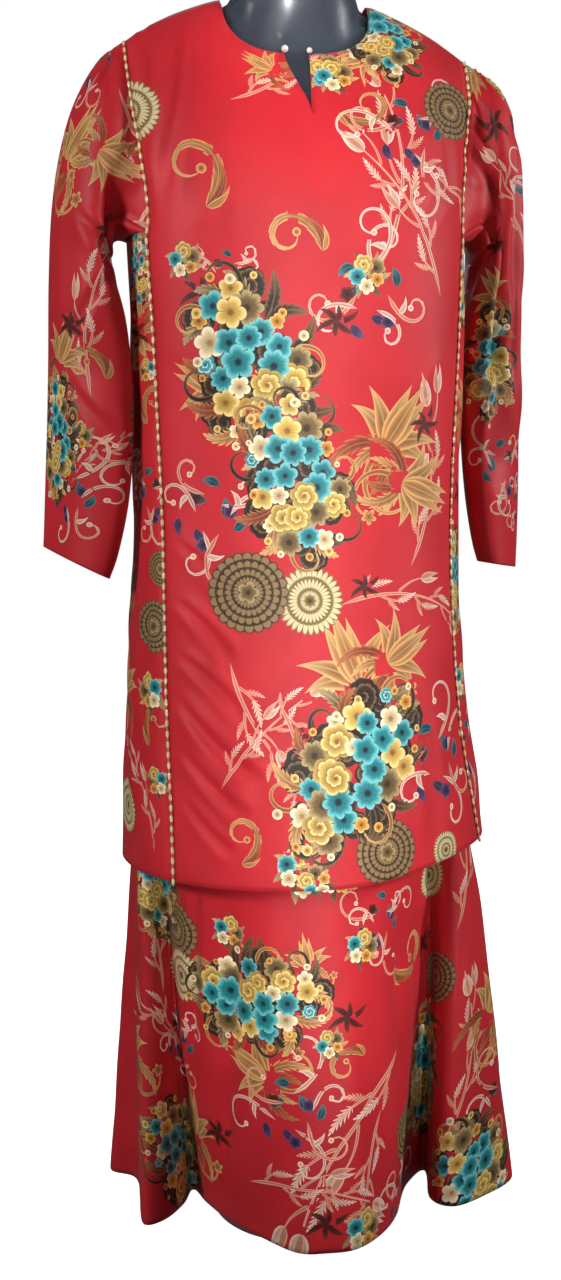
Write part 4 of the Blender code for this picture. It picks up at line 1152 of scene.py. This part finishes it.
def motif_group():
    """One layer of the print: works out a motif's edge, lobes and shading from its
    local place, and lays it over the colour below."""
    tree = bpy.data.node_groups.new("print motif", "ShaderNodeTree")
    inputs = (("Place", "NodeSocketVector"), ("Code", "NodeSocketFloat"), ("Under", "NodeSocketColor"))
    for name, kind in inputs:
        tree.interface.new_socket(name, in_out="INPUT", socket_type=kind)
    tree.interface.new_socket("Colour", in_out="OUTPUT", socket_type="NodeSocketColor")
    w = Wiring(tree)
    source = w.node("NodeGroupInput")
    place, code, under = source.outputs[0], source.outputs[1], source.outputs[2]
    parts = w.node("ShaderNodeSeparateXYZ", place)
    a, b, tint = parts.outputs[0], parts.outputs[1], parts.outputs[2]

    edge_rows = [(row[1] / 32, row[2], row[3] / 2, row[4] / 8) for row in SHAPES]
    kind_rows = [(row[5], row[6], row[7], row[8]) for row in SHAPES]
    leaf_rows = [(row[9] / 16, row[10], row[11], row[12] / 2) for row in SHAPES]
    petals, notch, blunt, rings = w.split(w.bands(code, edge_rows))
    heart, lace, path, taper = w.split(w.bands(code, kind_rows))
    teeth, bite, skew, point = w.split(w.bands(code, leaf_rows))
    rings = w.math("MULTIPLY", rings, 8.0)
    which = w.math("FRACT", w.math("MULTIPLY", code, 16.0))
    core, body, rim = (w.bands(which, [(*linear(row[k]), 1.0) for row in PALETTE]).outputs[0]
                       for k in (1, 2, 3))

    # Round motifs: petals set the edge
    away = w.math("SQRT", w.math("ADD", w.math("MULTIPLY", a, a), w.math("MULTIPLY", b, b)))
    angle = w.math("ARCTAN2", b, a)
    wave = w.math("ABSOLUTE", w.math("COSINE", w.math("MULTIPLY", angle, w.math("MULTIPLY", petals, 16.0))))
    wave = w.math("POWER", wave, w.math("MULTIPLY", blunt, 2.0))
    edge = w.math("SUBTRACT", 1.0, w.math("MULTIPLY", notch, w.math("SUBTRACT", 1.0, wave)))
    round_q = w.math("DIVIDE", away, edge)

    # Leaves and stems: a width that changes along the path
    along = w.math("MAXIMUM", w.math("MINIMUM", a, 1.0), 0.0)
    leaf = w.math("SINE", w.math("MULTIPLY", w.math("POWER", along, skew), 3.1416))
    leaf = w.math("POWER", w.math("MAXIMUM", leaf, 0.0), w.math("MULTIPLY", point, 2.0))
    stem = w.math("MULTIPLY", w.math("MINIMUM", w.math("MULTIPLY", along, 8.0), 1.0),
                  w.math("SUBTRACT", 1.0, w.math("MULTIPLY", along, 0.72)))
    width = w.blend(taper, leaf, stem)
    far = w.math("ABSOLUTE", b)
    swept = w.math("SUBTRACT", along, w.math("MULTIPLY", far, 0.12))
    turn = w.math("MULTIPLY", swept, w.math("MULTIPLY", teeth, 16.0))
    lobe = w.math("FRACT", turn)
    bitten = w.math("MULTIPLY", bite, w.math("SUBTRACT", 1.0, lobe))
    width = w.math("MULTIPLY", width, w.math("SUBTRACT", 1.0, bitten))
    within = w.math("MULTIPLY", w.math("GREATER_THAN", a, 0.0), w.math("LESS_THAN", a, 1.0))
    width = w.math("ADD", w.math("MULTIPLY", width, within), 0.0001)
    path_q = w.math("DIVIDE", far, width)

    q = w.blend(path, round_q, path_q)
    cover = w.math("MULTIPLY", w.step(q, 0.97, 1.03, 1.0, 0.0), w.math("GREATER_THAN", code, 0.0625))
    wound = w.math("MULTIPLY", w.math("GREATER_THAN", rings, 1.5), w.math("MULTIPLY", angle, 0.15915))
    inner = w.math("FRACT", w.math("ADD", w.math("MULTIPLY", w.math("MINIMUM", q, 0.999), rings), wound))

    # Shading inside the motif, from its heart to its rim
    shade = w.blend(w.math("POWER", inner, 0.8), 0.38, 1.18)
    shade = w.math("MULTIPLY", shade, w.blend(tint, 0.78, 1.16))
    grey = w.node("ShaderNodeCombineColor", shade, shade, shade).outputs[0]
    result = w.mix(1.0, body, grey, "MULTIPLY")
    result = w.mix(w.math("MULTIPLY", w.step(inner, 0.55, 0.98), 0.80), result, rim)
    toothed = w.math("GREATER_THAN", teeth, 0.01)
    gap = w.math("MULTIPLY", w.step(wave, 0.06, 0.34, 0.75, 0.0), w.math("SUBTRACT", 1.0, path))
    gap = w.math("MULTIPLY", gap, w.step(q, 0.15, 0.3))
    ribs = w.math("MULTIPLY", w.step(lobe, 0.05, 0.45, 0.7, 0.0), toothed)
    result = w.mix(w.math("MAXIMUM", gap, ribs), result, core)
    leafy = w.math("MULTIPLY", path, w.math("SUBTRACT", 1.0, taper))
    vein = w.math("MULTIPLY", w.step(far, 0.05, 0.16, 0.45, 0.0), leafy)
    result = w.mix(vein, result, rim)
    tip = w.math("MULTIPLY", w.step(along, 0.35, 1.0, 0.0, 0.6), path)
    result = w.mix(tip, result, rim)
    middle = w.step(q, w.math("MULTIPLY", heart, 0.6), w.math("MULTIPLY", heart, 1.5), 1.0, 0.0)
    middle = w.math("MULTIPLY", middle, w.math("GREATER_THAN", heart, 0.01))
    result = w.mix(middle, result, core)
    fine = w.math("ABSOLUTE", w.math("SINE", w.math("MULTIPLY", w.math("MULTIPLY", q, rings), 3.1416)))
    fine = w.math("MULTIPLY", fine, w.blend(wave, 0.30, 1.0))
    thread = w.mix(w.step(fine, 0.25, 0.55), body, rim)
    result = w.mix(lace, result, thread)
    result = w.mix(cover, under, result)
    w.node("NodeGroupOutput", result)
    return tree


def new_material(name):
    material = bpy.data.materials.new(name)
    material.use_nodes = True
    tree = material.node_tree
    tree.nodes.clear()
    w = Wiring(tree)
    shader = w.node("ShaderNodeBsdfPrincipled")
    out = w.node("ShaderNodeOutputMaterial")
    tree.links.new(shader.outputs[0], out.inputs[0])
    return material, w, shader


def printed_crepe(name, group, lit, dark):
    """Printed polyester crepe: a smooth satin face with a fine pebbled weave."""
    material, w, shader = new_material(name)
    where = w.node("ShaderNodeTexCoord")
    slow = w.node("ShaderNodeTexNoise", where.outputs["Object"], None, 9.0, 2.0)
    colour = w.mix(w.step(slow.outputs[0], 0.3, 0.7), (*linear(lit), 1), (*linear(dark), 1))
    for layer in range(LAYERS, 0, -1):
        attribute = w.node("ShaderNodeAttribute", attribute_name="motif_%d" % layer)
        step = w.node("ShaderNodeGroup", node_tree=group)
        w.feed(step.inputs[0], attribute.outputs["Vector"])
        w.feed(step.inputs[1], attribute.outputs["Alpha"])
        w.feed(step.inputs[2], colour)
        colour = step.outputs[0]
    w.feed(shader.inputs["Base Color"], colour)
    grain = w.node("ShaderNodeTexNoise", where.outputs["Object"], None, 700.0, 2.0)
    parts = w.node("ShaderNodeSeparateXYZ", where.outputs["UV"])
    warp = w.math("SINE", w.math("MULTIPLY", parts.outputs[0], 9000.0))
    weft = w.math("SINE", w.math("MULTIPLY", parts.outputs[1], 9000.0))
    weave = w.math("ADD", w.math("MULTIPLY", w.math("MULTIPLY", warp, weft), 0.25), grain.outputs[0])
    bump = w.node("ShaderNodeBump")
    bump.inputs["Strength"].default_value = 0.16
    bump.inputs["Distance"].default_value = 0.0004
    w.feed(bump.inputs["Height"], weave)
    w.feed(shader.inputs["Normal"], bump.outputs[0])
    w.feed(shader.inputs["Roughness"], w.step(grain.outputs[0], 0.2, 0.8, 0.46, 0.60))
    shader.inputs["Specular IOR Level"].default_value = 0.32
    shader.inputs["Sheen Weight"].default_value = 0.05
    shader.inputs["Sheen Roughness"].default_value = 0.45
    return material


def simple_material(name, light, dark, rough, scale, bump_height=0.0, metal=0.0, coat=0.0, stretch=(1, 1, 1)):
    """A finish with a slow change of colour and a fine change of roughness."""
    material, w, shader = new_material(name)
    where = w.node("ShaderNodeTexCoord")
    mapping = w.node("ShaderNodeMapping", where.outputs["Object"])
    mapping.inputs["Scale"].default_value = stretch
    noise = w.node("ShaderNodeTexNoise", mapping.outputs[0], None, scale, 3.0)
    tones = w.mix(w.step(noise.outputs[0], 0.3, 0.7), (*linear(light), 1), (*linear(dark), 1))
    w.feed(shader.inputs["Base Color"], tones)
    w.feed(shader.inputs["Roughness"], w.step(noise.outputs[0], 0.25, 0.75, rough * 0.85, rough * 1.2))
    shader.inputs["Metallic"].default_value = metal
    shader.inputs["Coat Weight"].default_value = coat
    if bump_height:
        bump = w.node("ShaderNodeBump")
        bump.inputs["Strength"].default_value = 0.3
        bump.inputs["Distance"].default_value = bump_height
        w.feed(bump.inputs["Height"], noise.outputs[0])
        w.feed(shader.inputs["Normal"], bump.outputs[0])
    return material


def new_object(name, points, faces, materials=()):
    mesh = bpy.data.meshes.new(name)
    mesh.from_pydata([tuple(point) for point in points], [], [list(face) for face in faces])
    for material in materials:
        mesh.materials.append(material)
    item = bpy.data.objects.new(name, mesh)
    bpy.context.scene.collection.objects.link(item)
    return item


def finish_piece(item, slot, *nodes):
    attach(item, "root")
    if nodes:
        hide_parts(*nodes)
    return item


def make_shell(cloth, name, material):
    """One piece's thin shell, with its cut as UV and the print on its face corners."""
    number = cloth.names.index(name)
    mine = cloth.owners == number
    faces, cuts = cloth.faces[mine], cloth.cuts[mine]
    used, faces = np.unique(faces, return_inverse=True)
    faces = faces.reshape(-1, 4)
    mesh = bpy.data.meshes.new(name + "_cloth")
    mesh.from_pydata(cloth.points[used].tolist(), [], faces.tolist())
    mesh.uv_layers.new(name="cut").data.foreach_set("uv", cuts.reshape(-1))
    print_ = Print(cuts)
    rng = np.random.default_rng(40 + number)
    for kind, *places in LAYOUT.get(name, []):
        for u, v, size, turn in places:
            MOTIFS[kind](print_, rng, u, v, size, math.radians(turn))
    for layer in range(LAYERS):
        attribute = mesh.attributes.new("motif_%d" % (layer + 1), "FLOAT_COLOR", "CORNER")
        attribute.data.foreach_set("color", print_.layers[layer].reshape(-1))
    mesh.materials.append(material)
    mesh.shade_smooth()
    mesh.validate()
    item = bpy.data.objects.new(name + "_cloth", mesh)
    bpy.context.scene.collection.objects.link(item)
    wall = item.modifiers.new("wall", "SOLIDIFY")
    wall.thickness = CLOTH
    wall.offset = -1
    return item, cuts


def declare_sheet(item):
    """Reads a shell's points and does nothing more with them."""
    corner = item.data
    points = np.empty(len(corner.vertices) * 3)
    corner.vertices.foreach_get("co", points)
    points = points.reshape(-1, 3)


def bead_tree(name, material, segments, rings, shape, cord, tip):
    """Beads or stitches strung along a path. shape is the half length, width and height."""
    tree = bpy.data.node_groups.new(name, "GeometryNodeTree")
    tree.interface.new_socket("Geometry", in_out="INPUT", socket_type="NodeSocketGeometry")
    tree.interface.new_socket("Pitch", in_out="INPUT", socket_type="NodeSocketFloat")
    tree.interface.new_socket("Cord radius", in_out="INPUT", socket_type="NodeSocketFloat")
    tree.interface.new_socket("Geometry", in_out="OUTPUT", socket_type="NodeSocketGeometry")
    w = Wiring(tree)
    source = w.node("NodeGroupInput")
    curve = w.node("GeometryNodeMeshToCurve", source.outputs[0]).outputs[0]
    normal = w.node("GeometryNodeInputNamedAttribute", "out", data_type="FLOAT_VECTOR").outputs[0]
    spaced = w.node("GeometryNodeResampleCurve", mode="LENGTH")
    w.feed(spaced.inputs["Curve"], curve)
    w.feed(spaced.inputs["Length"], source.outputs["Pitch"])
    ball = w.node("GeometryNodeMeshUVSphere", segments, rings, 1.0).outputs[0]
    ball = w.node("GeometryNodeTransform", ball)
    ball.inputs["Scale"].default_value = shape
    along = w.node("GeometryNodeInputTangent").outputs[0]
    first = w.node("FunctionNodeAlignRotationToVector", axis="X")
    w.feed(first.inputs["Vector"], along)
    second = w.node("FunctionNodeAlignRotationToVector", axis="Z", pivot_axis="X")
    w.feed(second.inputs["Rotation"], first.outputs[0])
    w.feed(second.inputs["Vector"], normal)
    laid = w.node("GeometryNodeInstanceOnPoints")
    w.feed(laid.inputs["Points"], spaced.outputs[0])
    w.feed(laid.inputs["Instance"], ball.outputs[0])
    w.feed(laid.inputs["Rotation"], second.outputs[0])
    solid = w.node("GeometryNodeRealizeInstances", laid.outputs[0]).outputs[0]
    solid = w.node("GeometryNodeSetMaterial", solid)
    solid.inputs["Material"].default_value = material
    result = solid.outputs[0]
    if cord:
        ring = w.node("GeometryNodeCurvePrimitiveCircle")
        ring.inputs["Resolution"].default_value = 8
        w.feed(ring.inputs["Radius"], source.outputs["Cord radius"])
        tube = w.node("GeometryNodeCurveToMesh", curve, ring.outputs[0])
        tube.inputs["Fill Caps"].default_value = True
        wrapped = w.node("GeometryNodeSetMaterial", tube.outputs[0])
        wrapped.inputs["Material"].default_value = tip
        both = w.node("GeometryNodeJoinGeometry")
        tree.links.new(result, both.inputs[0])
        tree.links.new(wrapped.outputs[0], both.inputs[0])
        result = w.node("GeometryNodeRealizeInstances", both.outputs[0]).outputs[0]
    smooth_ = w.node("GeometryNodeSetShadeSmooth", result)
    w.node("NodeGroupOutput", smooth_.outputs[0])
    return tree


def string_along(name, lines, outs, tree, pitch, cord_radius):
    """A plain mesh of a tree's beads along paths that lie on the cloth."""
    points = np.concatenate(lines)
    edges, base = [], 0
    for line in lines:
        edges += [(base + i, base + i + 1) for i in range(len(line) - 1)]
        base += len(line)
    mesh = bpy.data.meshes.new(name + "_path")
    mesh.from_pydata(points.tolist(), edges, [])
    attribute = mesh.attributes.new("out", "FLOAT_VECTOR", "POINT")
    attribute.data.foreach_set("vector", np.concatenate(outs).reshape(-1))
    path = bpy.data.objects.new(name + "_path", mesh)
    bpy.context.scene.collection.objects.link(path)
    modifier = path.modifiers.new("string", "NODES")
    modifier.node_group = tree
    sockets = {item.name: item.identifier for item in tree.interface.items_tree if item.in_out == "INPUT"}
    modifier[sockets["Pitch"]] = pitch
    modifier[sockets["Cord radius"]] = cord_radius
    graph = bpy.context.evaluated_depsgraph_get()
    done = path.evaluated_get(graph)
    made = bpy.data.meshes.new_from_object(done, preserve_all_data_layers=True, depsgraph=graph)
    made.name = name
    item = bpy.data.objects.new(name, made)
    bpy.context.scene.collection.objects.link(item)
    bpy.data.objects.remove(path, do_unlink=True)
    return item


def build_tunic():
    cloth = Cloth()
    panels = {}
    for facing, name in ((-1, "front_panel"), (1, "back_panel")):
        for side in (-1, 1):
            points, cut = half_panel(side, facing)
            panels[side, facing] = points
            cloth.grid(name, points, cut, flip=side * facing > 0)
            neck = points[1, :round(NECK_SHARE * HALF_COLUMNS) + 1]
            cloth.sewn.setdefault(name, []).extend([points[HEM_ROW], neck])
    first = SLIT_ROWS + CHEST_ROWS
    under = first + GORE_COLUMNS // 2
    last = first + GORE_COLUMNS
    ring = GUSSET_RINGS * SLEEVE_STEPS
    for side in (-1, 1):
        name = side_name(side)
        front, back = panels[side, -1], panels[side, 1]
        points, cut = gore(side, front, back)
        cloth.grid("side_gore_" + name, points, cut, flip=side < 0)
        points, cut, behind = sleeve(side, front, back, points)
        blocks = [("sleeve_", 0, None, 0, first, cut), ("gusset_", 0, ring, first, under, cut),
                  ("sleeve_", ring, None, first, under, cut), ("gusset_", 0, ring, under, last, cut),
                  ("sleeve_", ring, None, under, last, behind), ("sleeve_", 0, None, last, None, behind)]
        for kind, top, bottom, start, end, place in blocks:
            rows = slice(top, None if bottom is None else bottom + 1)
            columns = slice(start, None if end is None else end + 1)
            cloth.grid(kind + name, points[rows, columns], place[rows, columns], flip=side > 0)
        cloth.sewn["sleeve_" + name] = [points[HEM_ROW]]
    cloth.join()
    return cloth, panels


def build_skirt():
    rings, right, left = skirt_grid()
    count = SKIRT_COLUMNS
    front = np.arange(left, right + count + 1) % count
    back = np.arange(right, left + 1)
    cloth = Cloth()
    points = rings[:, front]
    cut = cut_line(points, count - left)
    cut[:, :, 0] *= -1
    cloth.grid("skirt_front", points, cut, flip=True)
    points = rings[:, back]
    cloth.grid("skirt_back", points, cut_line(points, int(np.argmin(np.abs(rings[0, back, 0])))), flip=True)
    cloth.sewn = {"skirt_front": [rings[HEM_ROW, front]], "skirt_back": [rings[HEM_ROW, back]]}
    cloth.join()
    return cloth


def build_band():
    angles = np.linspace(0, 2 * math.pi, 97)
    rows = [np.stack([-WAIST[0] * np.sin(angles), -WAIST[1] * np.cos(angles), np.full(97, z)], axis=1)
            for z in np.linspace(BAND_TOP, SKIRT_TOP + 0.0002, 7)]
    cloth = Cloth()
    points = np.array(rows)
    cloth.grid("skirt_waistband", points, cut_line(points, 0), flip=True)
    cloth.join()
    return cloth


def normals_at(cloth, places):
    """The cloth's points and normals nearest to the places on its uncreased surface."""
    keys = {tuple(key): number for number, key in enumerate(np.round(cloth.flat, 5).tolist())}
    numbers = [keys[tuple(key)] for key in np.round(places, 5).tolist()]
    return cloth.points[numbers], cloth.normals[numbers]


def lathe(name, profile, count, material):
    """A turned piece about the upright axis from radius and height pairs."""
    rings = []
    for radius, z in profile:
        angle = np.arange(count) * 2 * math.pi / count
        rings.append(np.stack([radius * np.cos(angle), radius * np.sin(angle), np.full(count, z)], axis=1))
    points = np.concatenate(rings)
    faces = []
    for r in range(len(profile) - 1):
        for c in range(count):
            d = (c + 1) % count
            faces.append([r * count + c, r * count + d, (r + 1) * count + d, (r + 1) * count + c])
    faces.append(list(reversed(range(count))))
    faces.append([(len(profile) - 1) * count + c for c in range(count)])
    item = new_object(name, points, faces, [material])
    item.data.shade_smooth()
    return item


def pearl(name, node, material):
    """A round pearl with a flattened back, where the solid one is."""
    low, high = (np.array(corner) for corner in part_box(node))
    centre, radius = (low + high) / 2, float((high - low).max()) / 2
    rings, count = 15, 28
    points = []
    for i in range(rings):
        angle = math.pi * (i + 0.3) / (rings - 0.4)
        for c in range(count):
            turn = 2 * math.pi * c / count
            points.append(centre + radius * np.array((math.sin(angle) * math.cos(turn),
                                                      math.sin(angle) * math.sin(turn), -math.cos(angle))))
    faces = []
    for r in range(rings - 1):
        for c in range(count):
            d = (c + 1) % count
            faces.append([r * count + c, r * count + d, (r + 1) * count + d, (r + 1) * count + c])
    faces.append(list(reversed(range(count))))
    faces.append([(rings - 1) * count + c for c in range(count)])
    item = new_object(name, points, faces, [material])
    item.data.shade_smooth()
    return item


def smooth_copy(name, node, material):
    """A finer, smooth copy of a solid node's own mesh."""
    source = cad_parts[node]
    work = bmesh.new()
    work.from_mesh(source.data)
    work.transform(source.matrix_world)
    bmesh.ops.remove_doubles(work, verts=work.verts, dist=0.00005)
    bmesh.ops.recalc_face_normals(work, faces=work.faces)
    mesh = bpy.data.meshes.new(name)
    work.to_mesh(mesh)
    work.free()
    mesh.materials.clear()
    mesh.materials.append(material)
    mesh.shade_smooth()
    item = bpy.data.objects.new(name, mesh)
    bpy.context.scene.collection.objects.link(item)
    levels = item.modifiers.new("smooth", "SUBSURF")
    levels.levels = levels.render_levels = 1
    return item


# Camera and light, fitted to the photograph
CAMERA = {"distance": 1.8, "yaw": -11.2, "height": 0.93, "pitch": 7.1, "roll": -0.42,
          "focal": 1515.0, "aside": -0.02}
FRAME_HEIGHT = 1280


def make_camera():
    yaw, pitch, roll = (math.radians(CAMERA[name]) for name in ("yaw", "pitch", "roll"))
    place = Vector((math.sin(yaw) * CAMERA["distance"] + CAMERA["aside"] * math.cos(yaw),
                    -math.cos(yaw) * CAMERA["distance"] + CAMERA["aside"] * math.sin(yaw), CAMERA["height"]))
    ahead = Vector((-math.sin(yaw) * math.cos(pitch), math.cos(yaw) * math.cos(pitch), -math.sin(pitch)))
    level = Vector((math.cos(yaw), math.sin(yaw), 0.0))
    upright = level.cross(ahead)
    right = level * math.cos(roll) + upright * math.sin(roll)
    up = upright * math.cos(roll) - level * math.sin(roll)
    camera = bpy.data.cameras.new("camera")
    camera.sensor_fit = "VERTICAL"
    camera.sensor_height = 36
    camera.lens = CAMERA["focal"] / FRAME_HEIGHT * 36
    camera.clip_start = 0.05
    item = bpy.data.objects.new("camera", camera)
    item.matrix_world = Matrix(((right.x, up.x, -ahead.x, place.x), (right.y, up.y, -ahead.y, place.y),
                                (right.z, up.z, -ahead.z, place.z), (0, 0, 0, 1)))
    bpy.context.scene.collection.objects.link(item)
    bpy.context.scene.camera = item


def area_light(name, place, target, size, power, spread=180):
    lamp = bpy.data.lights.new(name, "AREA")
    lamp.shape = "RECTANGLE"
    lamp.size, lamp.size_y = size
    lamp.energy = power
    lamp.spread = math.radians(spread)
    item = bpy.data.objects.new(name, lamp)
    item.location = place
    item.rotation_euler = (Vector(target) - Vector(place)).to_track_quat("-Z", "Y").to_euler()
    bpy.context.scene.collection.objects.link(item)


def make_studio():
    bpy.context.scene.view_settings.view_transform = "Standard"
    area_light("left", (-2.25, -1.45, 1.90), (0.0, 0.0, 0.85), (0.35, 0.4), 41)
    area_light("right", (2.35, -1.25, 1.75), (0.0, 0.0, 0.9), (0.35, 0.4), 46)
    area_light("strip", (0.12, -2.5, 1.05), (-0.01, 0.0, 0.86), (0.09, 1.36), 0.90, 11)
    area_light("back", (0.6, 2.4, 2.2), (0.0, 0.0, 0.9), (1.6, 1.6), 24)
    world = bpy.data.worlds.new("studio")
    world.use_nodes = True
    bpy.context.scene.world = world
    tree = world.node_tree
    tree.nodes.clear()
    w = Wiring(tree)
    path = w.node("ShaderNodeLightPath")
    strength = w.blend(path.outputs["Is Camera Ray"], 0.07, 1.0)
    background = w.node("ShaderNodeBackground", (1.0, 1.0, 1.0, 1.0), strength)
    w.node("ShaderNodeOutputWorld", background.outputs[0])
    size = 6.0
    # White studio floor, lit evenly from within so that it melts into the backdrop
    white, _, shader = new_material("white floor")
    shader.inputs["Base Color"].default_value = (0.9, 0.9, 0.9, 1)
    shader.inputs["Roughness"].default_value = 0.8
    shader.inputs["Emission Color"].default_value = (1, 1, 1, 1)
    shader.inputs["Emission Strength"].default_value = 1.0
    floor = new_object("floor", [(-size, -size, 0), (size, -size, 0), (size, size, 0), (-size, size, 0)],
                       [(0, 1, 2, 3)], [white])
    floor.visible_diffuse = False
    floor.visible_glossy = False


def main():
    make_camera()
    make_studio()

    group = motif_group()
    crepe = printed_crepe("printed polyester crepe", group, "D42630", "C41F29")
    # The skirt's crepe is the tunic's cloth in a darker red: painted shade for the dimmer light on the skirt.
    # The waistband shares it.
    crepe_skirt_painted_shade = printed_crepe("printed polyester crepe, skirt, painted shade", group, "CE252F", "BE1E28")
    bead = simple_material("cream beads", "FFF1C8", "F7DFA2", 0.28, 260.0, coat=0.5)
    cord = simple_material("trim cord", "E08A58", "C86A40", 0.6, 900.0, 0.0003)
    thread = simple_material("sewing thread", "B81F29", "A01A22", 0.6, 900.0, 0.0002)
    pearl_white = simple_material("pearl", "F6F1EA", "E9E0DA", 0.18, 120.0, coat=0.8)
    charcoal = simple_material("glossy dress form", "424752", "363B46", 0.24, 14.0, coat=0.6)
    steel = simple_material("brushed steel", "B9B9BC", "9C9CA0", 0.32, 40.0, 0.0002, metal=1.0,
                            stretch=(1, 1, 30))

    tunic, panels = build_tunic()
    skirt = build_skirt()
    for cloth in (tunic, skirt):
        cloth.flat = cloth.points.copy()
        cloth.crease()
    band = build_band()

    shells = {}
    # The skirt and its waistband take the crepe that is darkened as painted shade.
    for cloth, material in ((tunic, crepe), (skirt, crepe_skirt_painted_shade), (band, crepe_skirt_painted_shade)):
        for name in cloth.names:
            shells[name] = make_shell(cloth, name, material)
    for name, (item, _) in shells.items():
        finish_piece(item, "printed_cloth_skirt" if "skirt" in name else "printed_cloth", name)

    held = {name: [] for name in shells}
    beads = bead_tree("bead trim", bead, 10, 7, (0.0045, 0.0020, 0.0019), True, cord)
    stitches = bead_tree("stitches", thread, 5, 3, (0.0011, 0.00022, 0.00016), False, thread)
    for side in (-1, 1):
        name = side_name(side)
        line, out = normals_at(tunic, panels[side, -1][1:, -1])
        item = string_along("trim_beads_" + name, [line + out * 0.0014], [out], beads, 0.0118, 0.0011)
        finish_piece(item, "beaded_trim", "trim_" + name)
        white = pearl("pearl_bead_" + name, "pearl_" + name, pearl_white)
        finish_piece(white, "pearl", "pearl_" + name)
        held["front_panel"] += [item, white]
    for cloth in (tunic, skirt):
        for name, rows in cloth.sewn.items():
            lines, outs = [], []
            for row in rows:
                line, out = normals_at(cloth, row)
                lines.append(line + out * 0.0001)
                outs.append(out)
            item = string_along(name + "_stitches", lines, outs, stitches, 0.0034, 0.0)
            finish_piece(item, "printed_cloth_skirt" if cloth is skirt else "printed_cloth")
            held[name].append(item)

    finish_piece(smooth_copy("form_skin", "form_torso", charcoal), "form_paint", "form_torso")
    pole = [(POLE_RADIUS, BASE_THICKNESS + 0.0003), (POLE_RADIUS, POLE_TOP)]
    finish_piece(lathe("pole_tube", pole, 40, steel), "base_steel", "form_pole")
    base = [(BASE_RADIUS - 0.001, 0.0), (BASE_RADIUS, 0.001), (BASE_RADIUS, BASE_THICKNESS - 0.002),
            (BASE_RADIUS - 0.0006, BASE_THICKNESS - 0.0006), (BASE_RADIUS - 0.002, BASE_THICKNESS)]
    finish_piece(lathe("base_plate", base, 96, steel), "base_steel", "form_base")

    for name, (item, cuts) in shells.items():
        declare_sheet(item)
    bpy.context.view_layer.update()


main()
